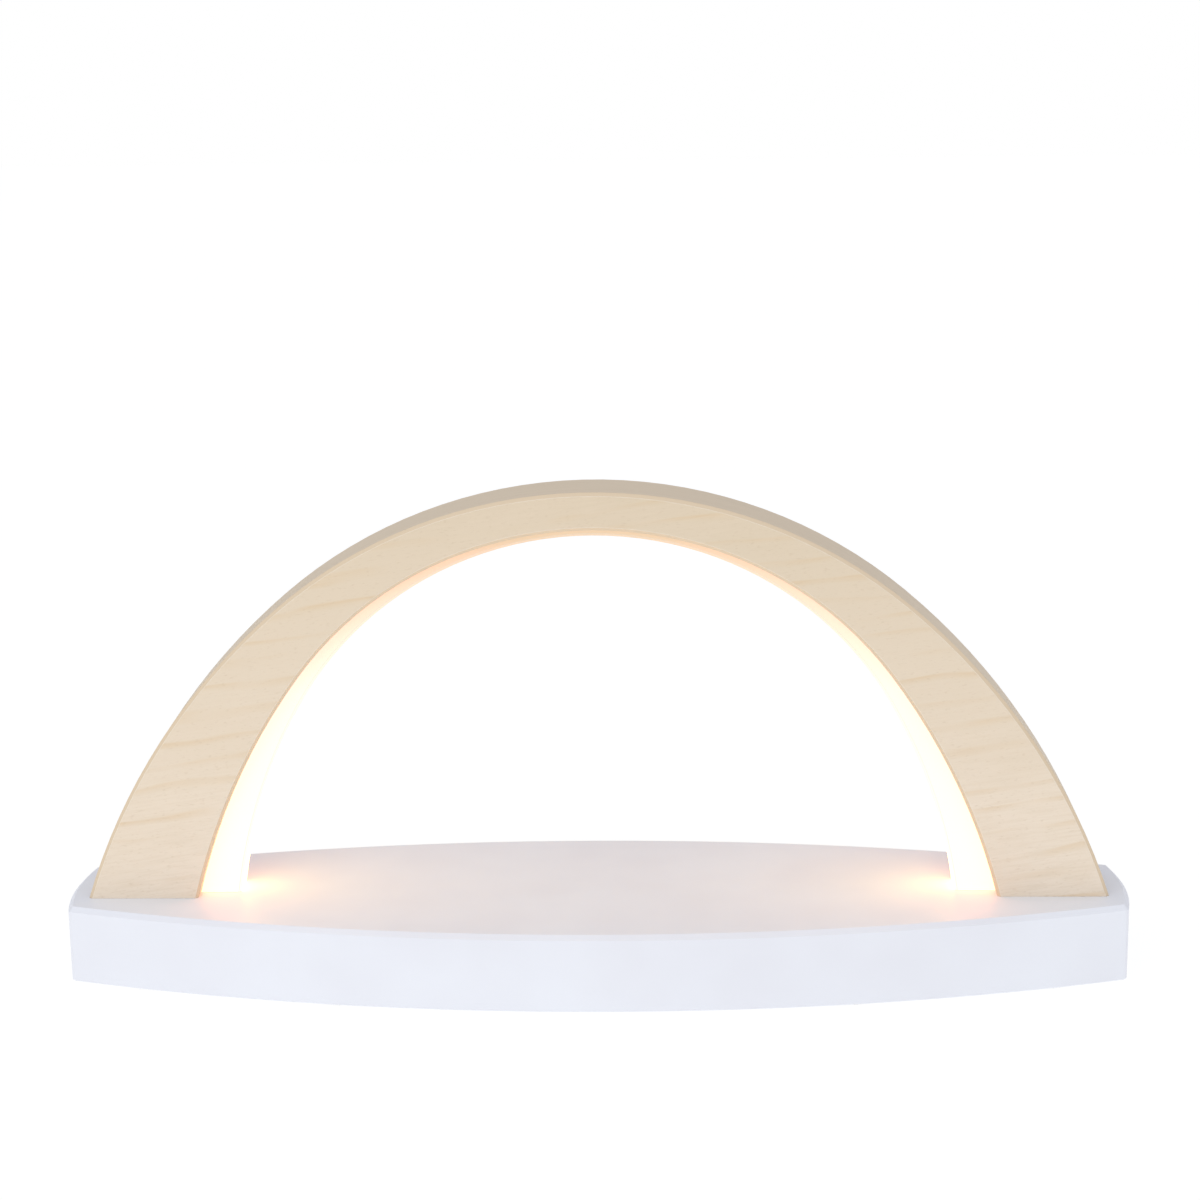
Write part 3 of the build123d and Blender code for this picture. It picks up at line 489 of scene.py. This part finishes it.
def lamp_glass(lamp):
    """Phosphor in clear silicone, lit from below."""
    # An even warm glow from a slightly grainy yellow surface.
    material, tree = start_material("phosphor lens, lit")
    grain_size = 0.2 * MM
    place = add(tree, "ShaderNodeTexCoord", out="Object")
    grain = add(tree, "ShaderNodeTexNoise", {"Vector": place, "Scale": 1 / grain_size})
    tones = {0: grain, MIX_A: opaque("#FFE7A8"), MIX_B: opaque("#F4CF7A")}
    colour = add(tree, "ShaderNodeMix", tones, MIX_OUT, data_type="RGBA")
    return coated(material, {
        "Base Color": colour, "Roughness": 0.3, "IOR": 1.41,
        "Emission Color": (*lamp.glow, 1), "Emission Strength": lamp.strength})


def soft_sleeve():
    """Black flexible sleeve of a lead."""
    # Dull black with a faint dusty bloom and fine ripples along it.
    material, tree = start_material("flexible lead sleeve, black")
    bloom_size = 5 * MM
    ripple_size = 0.6 * MM
    place = add(tree, "ShaderNodeTexCoord", out="Object")
    bloom = add(tree, "ShaderNodeTexNoise", {"Vector": place, "Scale": 1 / bloom_size})
    span = {"Value": bloom, "From Min": 0.4, "From Max": 0.75, "To Max": 0.7}
    bloom = add(tree, "ShaderNodeMapRange", span)
    tones = {0: bloom, MIX_A: opaque("#1B1B1C"), MIX_B: opaque("#2E2E30")}
    colour = add(tree, "ShaderNodeMix", tones, MIX_OUT, data_type="RGBA")
    gloss = add(tree, "ShaderNodeMapRange", {"Value": bloom, "To Min": 0.5, "To Max": 0.65})
    ripple = add(tree, "ShaderNodeTexNoise", {"Vector": place, "Scale": 1 / ripple_size})
    skin = add(tree, "ShaderNodeBump", {"Height": ripple, "Distance": 0.02 * MM, "Strength": 0.5})
    return coated(material, {"Base Color": colour, "Roughness": gloss, "Normal": skin})


def capped_can(name, sleeve_code, crease_code, axis, roughness):
    """A metal can in a shrunk plastic sleeve that leaves its ends bare."""
    # A glossy dark sleeve round the side, and satin metal at the ends.
    material, tree = start_material(name)
    crease_size = 3 * MM
    place = add(tree, "ShaderNodeTexCoord").node.outputs
    turned = turned_to(tree, place, axis)
    bare = add(tree, "ShaderNodeMapRange", {"Value": turned, "From Min": 0.5, "From Max": 0.6})
    crease = add(tree, "ShaderNodeTexNoise", {"Vector": place["Object"], "Scale": 1 / crease_size})
    span = {"Value": crease, "From Min": 0.45, "From Max": 0.75, "To Max": 0.6}
    crease = add(tree, "ShaderNodeMapRange", span)
    tones = {0: crease, MIX_A: opaque(sleeve_code), MIX_B: opaque(crease_code)}
    sleeve = add(tree, "ShaderNodeMix", tones, MIX_OUT, data_type="RGBA")
    tones = {0: bare, MIX_A: sleeve, MIX_B: opaque("#C4C5C8")}
    colour = add(tree, "ShaderNodeMix", tones, MIX_OUT, data_type="RGBA")
    span = {"Value": crease, "To Min": roughness, "To Max": roughness + 0.15}
    gloss = add(tree, "ShaderNodeMapRange", span)
    skin = add(tree, "ShaderNodeBump", {"Height": crease, "Distance": 0.02 * MM, "Strength": 0.4})
    return coated(material, {"Base Color": colour, "Metallic": bare, "Roughness": gloss, "Normal": skin})


def circuit_resist():
    """Green solder resist over copper on glass-filled board."""
    # Glossy green, paler and raised along the copper traces.
    material, tree = start_material("circuit board, green resist")
    trace_size = 2 * MM
    place = add(tree, "ShaderNodeTexCoord", out="Object")
    bricks = {"Vector": place, "Color1": (0, 0, 0, 1), "Color2": (0, 0, 0, 1), "Mortar": (1, 1, 1, 1),
              "Scale": 1 / trace_size, "Mortar Size": 0.08, "Brick Width": 2.3, "Row Height": 0.9}
    trace = add(tree, "ShaderNodeTexBrick", bricks)
    tones = {0: trace, MIX_A: opaque("#1F6B3A"), MIX_B: opaque("#3C8A4E")}
    colour = add(tree, "ShaderNodeMix", tones, MIX_OUT, data_type="RGBA")
    skin = add(tree, "ShaderNodeBump", {"Height": trace, "Distance": 0.04 * MM, "Strength": 0.6})
    return coated(material, {"Base Color": colour, "Roughness": 0.35, "Normal": skin, "IOR": 1.55})


def pressed_wool(felt):
    """Pressed wool felt."""
    # Mottled grey without any gloss, with a soft bright edge where loose fibres catch the light.
    material, tree = start_material("pressed wool felt")
    fleck_size = 0.9 * MM
    nap_size = 0.5 * MM
    place = add(tree, "ShaderNodeTexCoord", out="Object")
    fleck = add(tree, "ShaderNodeTexNoise", {"Vector": place, "Scale": 1 / fleck_size, "Detail": 4.0})
    span = {"Value": fleck, "From Min": 0.4, "From Max": 0.7, "To Max": 0.9}
    fleck = add(tree, "ShaderNodeMapRange", span)
    tones = {0: fleck, MIX_A: (*felt.colour, 1), MIX_B: (*felt.fleck, 1)}
    colour = add(tree, "ShaderNodeMix", tones, MIX_OUT, data_type="RGBA")
    nap = add(tree, "ShaderNodeTexNoise", {"Vector": place, "Scale": 1 / nap_size, "Detail": 4.0})
    skin = add(tree, "ShaderNodeBump", {"Height": nap, "Distance": 0.2 * MM, "Strength": 0.7})
    return coated(material, {
        "Base Color": colour, "Roughness": 0.95, "Normal": skin, "Specular IOR Level": 0.15,
        "Sheen Weight": 0.5, "Sheen Roughness": 0.5})


def lit_floor(stage):
    """A pale sheet lit from below."""
    # So bright that a picture shows it as plain white, with only a breath of shadow.
    material, tree = start_material("pale sheet, lit")
    cloud_size = 300 * MM
    place = add(tree, "ShaderNodeTexCoord", out="Object")
    cloud = add(tree, "ShaderNodeTexNoise", {"Vector": place, "Scale": 1 / cloud_size})
    gloss = add(tree, "ShaderNodeMapRange", {"Value": cloud, "To Min": 0.85, "To Max": 0.95})
    return coated(material, {
        "Base Color": (*stage.floor, 1), "Roughness": gloss, "Specular IOR Level": 0.0,
        "Emission Color": (1, 1, 1, 1), "Emission Strength": stage.floor_glow})


def islands(name):
    """The separate solids of a CAD node, each as the corners of its merged mesh in a fixed order."""
    shape = bmesh.new()
    shape.from_mesh(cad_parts[name].data)
    bmesh.ops.remove_doubles(shape, verts=shape.verts, dist=MERGE)
    left = set(shape.verts)
    found = []
    while left:
        group, queue = [], [left.pop()]
        while queue:
            corner = queue.pop()
            group.append(corner.co.copy())
            near = {edge.other_vert(corner) for edge in corner.link_edges} & left
            left -= near
            queue.extend(near)
        found.append(sorted(group, key=tuple))
    shape.free()
    found.sort(key=lambda group: [round(value, 5) for value in sum(group, Vector()) / len(group)])
    return found


def middle_of(corners):
    """The middle of the box round some points."""
    return Vector((min(c[i] for c in corners) + max(c[i] for c in corners)) / 2 for i in range(3))


def points_mesh(name, places, **vectors):
    """A mesh of loose points, with named vectors on them."""
    mesh = bpy.data.meshes.new(name)
    mesh.from_pydata([tuple(place) for place in places], [], [])
    for key, values in vectors.items():
        layer = mesh.attributes.new(key, "FLOAT_VECTOR", "POINT")
        for item, value in zip(layer.data, values):
            item.vector = value
    return mesh


def start_tree(name, sizes):
    """A geometry tree with a float input for each named size, and its given values."""
    tree = bpy.data.node_groups.new(name, "GeometryNodeTree")
    tree.interface.new_socket("Geometry", in_out="INPUT", socket_type="NodeSocketGeometry")
    tree.interface.new_socket("Geometry", in_out="OUTPUT", socket_type="NodeSocketGeometry")
    for size in sizes:
        tree.interface.new_socket(size, in_out="INPUT", socket_type="NodeSocketFloat")
    return tree, add(tree, "NodeGroupInput").node.outputs


def grown(name, mesh, tree, sizes):
    """A plain object made by a geometry tree from a mesh."""
    piece = bpy.data.objects.new(name, mesh)
    bpy.context.scene.collection.objects.link(piece)
    modifier = piece.modifiers.new("grown", "NODES")
    modifier.node_group = tree
    for item in tree.interface.items_tree:
        if item.in_out == "INPUT" and item.name in sizes:
            modifier[item.identifier] = sizes[item.name]
    depsgraph = bpy.context.evaluated_depsgraph_get()
    plain = bpy.data.meshes.new_from_object(piece.evaluated_get(depsgraph), depsgraph=depsgraph)
    piece.modifiers.remove(modifier)
    piece.data = plain
    plain.name = name
    return piece


def lamp_tree(housing, lens, solder):
    """The tree that sets a lamp on each point: cup, lens and two soldered ends."""
    names = ("Length", "Width", "Height", "Lens radius", "Lens height", "Cup depth", "Terminal")
    tree, given = start_tree("lamps on tape", names)
    mouth_share = 0.82
    tip_share = 0.8

    # Cup: a block whose top is drawn in and pressed down
    sides = {"X": given["Length"], "Y": given["Width"], "Z": given["Height"]}
    size = add(tree, "ShaderNodeCombineXYZ", sides)
    block = add(tree, "GeometryNodeMeshCube", {"Size": size})
    upward = add(tree, "ShaderNodeSeparateXYZ", {0: add(tree, "GeometryNodeInputNormal")}, "Z")
    on_top = add(tree, "FunctionNodeCompare", {0: upward, 1: 0.9}, operation="GREATER_THAN")
    doubled = {"Mesh": block, "Selection": on_top, "Offset Scale": 0.0}
    rim = add(tree, "GeometryNodeExtrudeMesh", doubled).node.outputs
    drawn = {"Geometry": rim["Mesh"], "Selection": rim["Top"], "Scale": mouth_share}
    inset = add(tree, "GeometryNodeScaleElements", drawn)
    down = add(tree, "ShaderNodeMath", {0: given["Cup depth"], 1: -1.0}, operation="MULTIPLY")
    pressed = {"Mesh": inset, "Selection": rim["Top"], "Offset Scale": down}
    cup = add(tree, "GeometryNodeExtrudeMesh", pressed)

    # Lens: a low truncated cone on the cup's floor
    tip = add(tree, "ShaderNodeMath", {0: given["Lens radius"], 1: tip_share}, operation="MULTIPLY")
    cone = {"Vertices": 16, "Radius Top": tip, "Radius Bottom": given["Lens radius"],
            "Depth": given["Lens height"]}
    dome = add(tree, "GeometryNodeMeshCone", cone)
    half = add(tree, "ShaderNodeMath", {0: given["Height"], 1: 0.5}, operation="MULTIPLY")
    floor = add(tree, "ShaderNodeMath", {0: half, 1: given["Cup depth"]}, operation="SUBTRACT")
    lifted = add(tree, "ShaderNodeCombineXYZ", {"Z": floor})
    dome = add(tree, "GeometryNodeTransform", {"Geometry": dome, "Translation": lifted})

    # Soldered ends: two flat beads beside the cup
    bead = add(tree, "GeometryNodeMeshUVSphere", {"Segments": 12, "Rings": 6, "Radius": 0.5})
    low = add(tree, "ShaderNodeMath", {0: half, 1: -1.0}, operation="MULTIPLY")
    sides = {"X": given["Terminal"], "Y": given["Width"], "Z": given["Cup depth"]}
    bead_size = add(tree, "ShaderNodeCombineXYZ", sides)
    beads = []
    for side in (-0.5, 0.5):
        across = add(tree, "ShaderNodeMath", {0: given["Length"], 1: side}, operation="MULTIPLY")
        spot = add(tree, "ShaderNodeCombineXYZ", {"X": across, "Z": low})
        moved = {"Geometry": bead, "Translation": spot, "Scale": bead_size}
        beads.append(add(tree, "GeometryNodeTransform", moved))
    beads = add(tree, "GeometryNodeJoinGeometry", {0: beads})

    # Each part carries its number, so that it gets its own material at the end
    marked = []
    for number, part in enumerate((cup, dome, beads)):
        tagged = {"Geometry": part, "Name": "finish", "Value": number}
        marked.append(add(tree, "GeometryNodeStoreNamedAttribute", tagged, data_type="INT", domain="FACE"))
    whole = add(tree, "GeometryNodeJoinGeometry", {0: marked})
    facing = add(tree, "GeometryNodeInputNamedAttribute", {"Name": "facing"}, data_type="FLOAT_VECTOR")
    axes = {"Primary Axis": facing, "Secondary Axis": (0, 1, 0)}
    turn = add(tree, "FunctionNodeAxesToRotation", axes, primary_axis="Z", secondary_axis="Y")
    laid = {"Points": given["Geometry"], "Instance": whole, "Rotation": turn}
    lamps = add(tree, "GeometryNodeInstanceOnPoints", laid)
    mesh = add(tree, "GeometryNodeRealizeInstances", {"Geometry": lamps})
    finish = add(tree, "GeometryNodeInputNamedAttribute", {"Name": "finish"}, data_type="INT")
    for number, material in enumerate((housing, lens, solder)):
        chosen = add(tree, "FunctionNodeCompare", {2: finish, 3: number}, data_type="INT", operation="EQUAL")
        dressed = {"Geometry": mesh, "Selection": chosen, "Material": material}
        mesh = add(tree, "GeometryNodeSetMaterial", dressed)
    add(tree, "NodeGroupOutput", {"Geometry": mesh})
    return tree


def felt_tree(wool, seed):
    """The tree that sets a felt disc with loose fibres on each point."""
    names = ("Radius", "Thickness", "Unevenness", "Fibre length", "Fibre radius", "Fibre spacing")
    tree, given = start_tree("felt pads", names)
    lump_size = 1.4 * MM
    no_limit = 1e9

    # Disc whose skin wanders
    round_disc = {"Vertices": 56, "Side Segments": 3, "Fill Segments": 9,
                  "Radius": given["Radius"], "Depth": given["Thickness"]}
    disc = add(tree, "GeometryNodeMeshCylinder", round_disc, fill_type="TRIANGLE_FAN")
    discs = add(tree, "GeometryNodeInstanceOnPoints", {"Points": given["Geometry"], "Instance": disc})
    skin = add(tree, "GeometryNodeRealizeInstances", {"Geometry": discs})
    lumps = add(tree, "ShaderNodeTexNoise", {"Scale": 1 / lump_size, "Detail": 2.0}, "Color")
    centred = add(tree, "ShaderNodeVectorMath", {0: lumps, 1: (0.5, 0.5, 0.5)}, operation="SUBTRACT")
    drift = add(tree, "ShaderNodeVectorMath", {0: centred, "Scale": given["Unevenness"]}, operation="SCALE")
    skin = add(tree, "GeometryNodeSetPosition", {"Geometry": skin, "Offset": drift})

    # Bent fibres that lie on the skin
    tips = {"Resolution": 3, "Start": (0, 0, 0), "Middle": (0.1, 0, 0.5), "End": (0.6, 0, 0.8)}
    bend = add(tree, "GeometryNodeCurveQuadraticBezier", tips)
    sized = add(tree, "ShaderNodeCombineXYZ", {axis: given["Fibre length"] for axis in "XYZ"})
    bend = add(tree, "GeometryNodeTransform", {"Geometry": bend, "Scale": sized})
    thread = add(tree, "GeometryNodeCurvePrimitiveCircle", {"Resolution": 3, "Radius": given["Fibre radius"]})
    fibre = add(tree, "GeometryNodeCurveToMesh", {"Curve": bend, "Profile Curve": thread, "Fill Caps": True})
    scattered = {"Mesh": skin, "Distance Min": given["Fibre spacing"], "Density Max": no_limit, "Seed": seed}
    roots = add(tree, "GeometryNodeDistributePointsOnFaces", scattered, distribute_method="POISSON")
    roots = roots.node.outputs
    spin = add(tree, "FunctionNodeRandomValue", {"Max": math.tau, "Seed": seed}, 1)
    spun = add(tree, "ShaderNodeCombineXYZ", {"Z": spin})
    turn = add(tree, "FunctionNodeRotateRotation", {0: roots["Rotation"], 1: spun}, rotation_space="LOCAL")
    grown_on = {"Points": roots["Points"], "Instance": fibre, "Rotation": turn}
    fuzz = add(tree, "GeometryNodeInstanceOnPoints", grown_on)
    whole = add(tree, "GeometryNodeJoinGeometry", {0: [skin, fuzz]})
    mesh = add(tree, "GeometryNodeRealizeInstances", {"Geometry": whole})

    # Nothing reaches below the floor or into the base
    parts = add(tree, "ShaderNodeSeparateXYZ", {0: add(tree, "GeometryNodeInputPosition")}).node.outputs
    held = add(tree, "ShaderNodeClamp", {"Value": parts["Z"], "Min": 0.0, "Max": given["Thickness"]})
    flat = add(tree, "ShaderNodeCombineXYZ", {"X": parts["X"], "Y": parts["Y"], "Z": held})
    mesh = add(tree, "GeometryNodeSetPosition", {"Geometry": mesh, "Position": flat})
    mesh = add(tree, "GeometryNodeSetMaterial", {"Geometry": mesh, "Material": wool})
    add(tree, "NodeGroupOutput", {"Geometry": mesh})
    return tree


def lay_floor(scene, stage):
    """Lays the pale floor."""
    half = stage.floor_size / 2
    mesh = bpy.data.meshes.new("floor")
    corners = [(-half, -half, 0), (half, -half, 0), (half, half, 0), (-half, half, 0)]
    mesh.from_pydata(corners, [], [(0, 1, 2, 3)])
    mesh.materials.append(lit_floor(stage))
    floor = bpy.data.objects.new("floor", mesh)
    scene.collection.objects.link(floor)


def light_room(scene, stage):
    """Surrounds the stage with light."""
    # A big screen in front and above, dimmer walls beside and behind, and white below the horizon
    world = bpy.data.worlds.new("studio")
    world.use_nodes = True
    tree = world.node_tree
    tree.nodes.clear()
    way = add(tree, "ShaderNodeTexCoord", out="Generated")
    toward = {0: way, 1: stage.screen_way}
    near_screen = add(tree, "ShaderNodeVectorMath", toward, "Value", operation="DOT_PRODUCT")
    span = {"Value": near_screen, "From Min": -0.1, "From Max": 0.8}
    share = add(tree, "ShaderNodeMapRange", span)
    tones = {0: share, MIX_A: (*stage.dim_side, 1), MIX_B: (*stage.bright_side, 1)}
    room = add(tree, "ShaderNodeMix", tones, MIX_OUT, data_type="RGBA")
    height = add(tree, "ShaderNodeSeparateXYZ", {0: way}, "Z")
    below = add(tree, "ShaderNodeMapRange", {"Value": height, "From Min": 0.02, "From Max": 0.0})
    tones = {0: below, MIX_A: room, MIX_B: (1, 1, 1, 1)}
    sky = add(tree, "ShaderNodeMix", tones, MIX_OUT, data_type="RGBA")
    glow = add(tree, "ShaderNodeBackground", {"Color": sky})
    add(tree, "ShaderNodeOutputWorld", {"Surface": glow})
    scene.world = world


def hang_key(scene, stage):
    """Hangs the soft light and points it at the base."""
    light = bpy.data.lights.new("key", "AREA")
    light.shape = "SQUARE"
    light.size = stage.key_size
    light.energy = stage.key_power
    key = bpy.data.objects.new("key", light)
    key.location = stage.key_place
    key.rotation_euler = (-key.location).to_track_quat("-Z", "Y").to_euler()
    scene.collection.objects.link(key)


def aim_camera(scene, stage):
    """Stands the camera in front of the arch, a little above it."""
    optics = bpy.data.cameras.new("camera")
    optics.sensor_width = SENSOR_WIDTH
    optics.lens = stage.lens
    camera = bpy.data.objects.new("camera", optics)
    turn = Matrix.Rotation(stage.pan, 4, "Z") @ Matrix.Rotation(math.pi / 2 - stage.dip, 4, "X")
    roll = Matrix.Rotation(stage.roll, 4, "Z")
    camera.matrix_world = Matrix.Translation(stage.camera_place) @ turn @ roll
    scene.collection.objects.link(camera)
    scene.camera = camera


class ARCH_OT_base(Operator):
    """Lacquers the base board"""
    bl_idname = "arch.base"
    bl_label = "Base"

    def execute(self, context):
        dress(satin_lacquer(context.scene.arch_lacquer), "base_board")
        return {"FINISHED"}


class ARCH_OT_boards(Operator):
    """Gives the arch's three boards their veneer"""
    bl_idname = "arch.boards"
    bl_label = "Arch Boards"

    def execute(self, context):
        veneer = birch_veneer(context.scene.arch_wood)
        dress(veneer, "front_arch_board", "core_arch_board", "back_arch_board")
        return {"FINISHED"}


class ARCH_OT_guide(Operator):
    """Lights the plate between the boards"""
    bl_idname = "arch.guide"
    bl_label = "Light Guide"

    def execute(self, context):
        dress(frosted_acrylic(context.scene.arch_guide), "light_guide")
        return {"FINISHED"}


class ARCH_OT_lamps(Operator):
    """Sets lit lamps on the tapes behind the light guide"""
    bl_idname = "arch.lamps"
    bl_label = "Lamps and Tapes"

    def execute(self, context):
        lamp = context.scene.arch_lamp
        dress(flexible_tape(), "led_tape_left", "led_tape_right")
        housing = moulded_plastic("lamp cup, white polyamide", "#F3EFE6", "#E9E2D4", 0.5)
        solder = plated_metal("tin solder", "#D5D6D8", "#B4B5B8", 0.3)
        tree = lamp_tree(housing, lamp_glass(lamp), solder)
        for side in ("left", "right"):
            node = f"led_chips_{side}"
            places, facings = [], []
            for corners in islands(node):
                middle = middle_of(corners)
                # From a corner of a flat box: height, width, their diagonal, length and longer ones
                spans = sorted((other - corners[0] for other in corners[1:]), key=lambda span: span.length)
                height, width, length = (span.length for span in (spans[0], spans[1], spans[3]))
                facing = spans[0].normalized()
                places.append(middle)
                facings.append(facing if facing.x * middle.x < 0 else -facing)
            sizes = {"Length": length, "Width": width, "Height": height, "Lens radius": lamp.lens_radius,
                     "Lens height": lamp.lens_height, "Cup depth": lamp.cup_depth, "Terminal": lamp.terminal}
            piece = grown(f"lamps_{side}", points_mesh(node, places, facing=facings), tree, sizes)
            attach(piece, "root")
            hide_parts(node)
        return {"FINISHED"}


class ARCH_OT_leads(Operator):
    """Sleeves the leads"""
    bl_idname = "arch.leads"
    bl_label = "Leads"

    def execute(self, context):
        dress(soft_sleeve(), "led_lead_left", "led_lead_right", "battery_leads")
        return {"FINISHED"}


class ARCH_OT_battery(Operator):
    """Dresses the battery box, its lid, the cells and their contacts"""
    bl_idname = "arch.battery"
    bl_label = "Battery"

    def execute(self, context):
        plastic = moulded_plastic("white ABS, fine matte", "#EDEDEA", "#F2F2EF", 0.5)
        dress(plastic, "battery_box", "battery_lid")
        sleeve = capped_can("steel cell in a plain sleeve", "#3B4047", "#4A5058", "X", 0.3)
        dress(sleeve, "battery_cell_1", "battery_cell_2", "battery_cell_3")
        nickel = plated_metal("nickel-plated spring steel", "#CFCBC2", "#B3AFA6", 0.25)
        dress(nickel, "contact_plates", "contact_leaves")
        return {"FINISHED"}


class ARCH_OT_timer(Operator):
    """Dresses the timer, its cover and the strips over the leads"""
    bl_idname = "arch.timer"
    bl_label = "Timer and Covers"

    def execute(self, context):
        cover = moulded_plastic("white ABS cover, fine matte", "#EDEDEA", "#F2F2EF", 0.5)
        dress(cover, "driver_cover", "channel_cover_left", "channel_cover_right")
        dress(circuit_resist(), "timer_board")
        dress(moulded_plastic("black epoxy", "#1E1E1F", "#2A2A2B", 0.6), "timer_chip")
        dress(capped_can("aluminium can in a sleeve", "#2B3440", "#343E4B", "Z", 0.3), "smoothing_capacitor")
        dress(moulded_plastic("ivory nylon", "#EBE4D2", "#F1EBDC", 0.45), "lead_headers")
        return {"FINISHED"}


class ARCH_OT_switch(Operator):
    """Dresses the slide switch and its bezel"""
    bl_idname = "arch.switch"
    bl_label = "Switch"

    def execute(self, context):
        dress(plated_metal("tin-plated case", "#C3C4C6", "#A6A7AA", 0.35), "switch_body")
        dress(moulded_plastic("black nylon", "#202021", "#2C2C2E", 0.5), "switch_slider")
        dress(moulded_plastic("white ABS bezel, fine matte", "#EDEDEA", "#F2F2EF", 0.5), "switch_bezel")
        return {"FINISHED"}


class ARCH_OT_fasteners(Operator):
    """Dresses the dowels and screws"""
    bl_idname = "arch.fasteners"
    bl_label = "Dowels and Screws"

    def execute(self, context):
        dress(turned_beech(), "arch_dowels", "layer_dowels")
        zinc = plated_metal("zinc-plated steel", "#C8CBD0", "#A7ABB2", 0.3)
        dress(zinc, "arch_screws", "box_screws", "cover_screws", "board_screws", "bezel_screws")
        return {"FINISHED"}


class ARCH_OT_felt(Operator):
    """Makes the felt pads under the base"""
    bl_idname = "arch.felt"
    bl_label = "Felt Pads"

    def execute(self, context):
        felt = context.scene.arch_felt
        pads = islands("felt_pads")
        spots = [middle_of(corners) for corners in pads]
        low, high = (pick(corner.x for corner in pads[0]) for pick in (min, max))
        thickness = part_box("felt_pads")[1].z
        sizes = {"Radius": (high - low) / 2 - felt.unevenness, "Thickness": thickness,
                 "Unevenness": felt.unevenness, "Fibre length": felt.fibre_length,
                 "Fibre radius": felt.fibre_radius, "Fibre spacing": felt.spacing}
        tree = felt_tree(pressed_wool(felt), felt.seed)
        piece = grown("felt_feet", points_mesh("felt_spots", spots), tree, sizes)
        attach(piece, "root")
        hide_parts("felt_pads")
        return {"FINISHED"}


class ARCH_OT_stage(Operator):
    """Sets the floor, the studio light and the camera"""
    bl_idname = "arch.stage"
    bl_label = "Stage"

    def execute(self, context):
        scene, stage = context.scene, context.scene.arch_stage
        lay_floor(scene, stage)
        light_room(scene, stage)
        hang_key(scene, stage)
        aim_camera(scene, stage)
        scene.view_settings.view_transform = "Standard"
        return {"FINISHED"}


groups = {
    "arch_wood": WoodSettings,
    "arch_lacquer": LacquerSettings,
    "arch_guide": GuideSettings,
    "arch_lamp": LampSettings,
    "arch_felt": FeltSettings,
    "arch_stage": StageSettings,
}
steps = (
    ARCH_OT_base,
    ARCH_OT_boards,
    ARCH_OT_guide,
    ARCH_OT_lamps,
    ARCH_OT_leads,
    ARCH_OT_battery,
    ARCH_OT_timer,
    ARCH_OT_switch,
    ARCH_OT_fasteners,
    ARCH_OT_felt,
    ARCH_OT_stage,
)


class VIEW3D_PT_arch(Panel):
    """Lists the steps that dress the arch, and their settings"""
    bl_label = "Wooden Arch"
    bl_space_type = "VIEW_3D"
    bl_region_type = "UI"
    bl_category = "Wooden Arch"

    def draw(self, context):
        for step in steps:
            self.layout.operator(step.bl_idname)
        for name, group in groups.items():
            box = self.layout.box()
            for key in group.__annotations__:
                box.prop(getattr(context.scene, name), key)


classes = (*groups.values(), *steps, VIEW3D_PT_arch)


def register():
    """Registers the classes and hangs the settings on the scene."""
    for cls in classes:
        bpy.utils.register_class(cls)
    for name, group in groups.items():
        setattr(bpy.types.Scene, name, PointerProperty(type=group))


def unregister():
    """Undoes what register did."""
    for name in groups:
        delattr(bpy.types.Scene, name)
    for cls in reversed(classes):
        bpy.utils.unregister_class(cls)


def main():
    """Dresses the arch step by step."""
    register()
    bpy.ops.arch.base()
    bpy.ops.arch.boards()
    bpy.ops.arch.guide()
    bpy.ops.arch.lamps()
    bpy.ops.arch.leads()
    bpy.ops.arch.battery()
    bpy.ops.arch.timer()
    bpy.ops.arch.switch()
    bpy.ops.arch.fasteners()
    bpy.ops.arch.felt()
    bpy.ops.arch.stage()


if __name__ == "__main__":
    main()
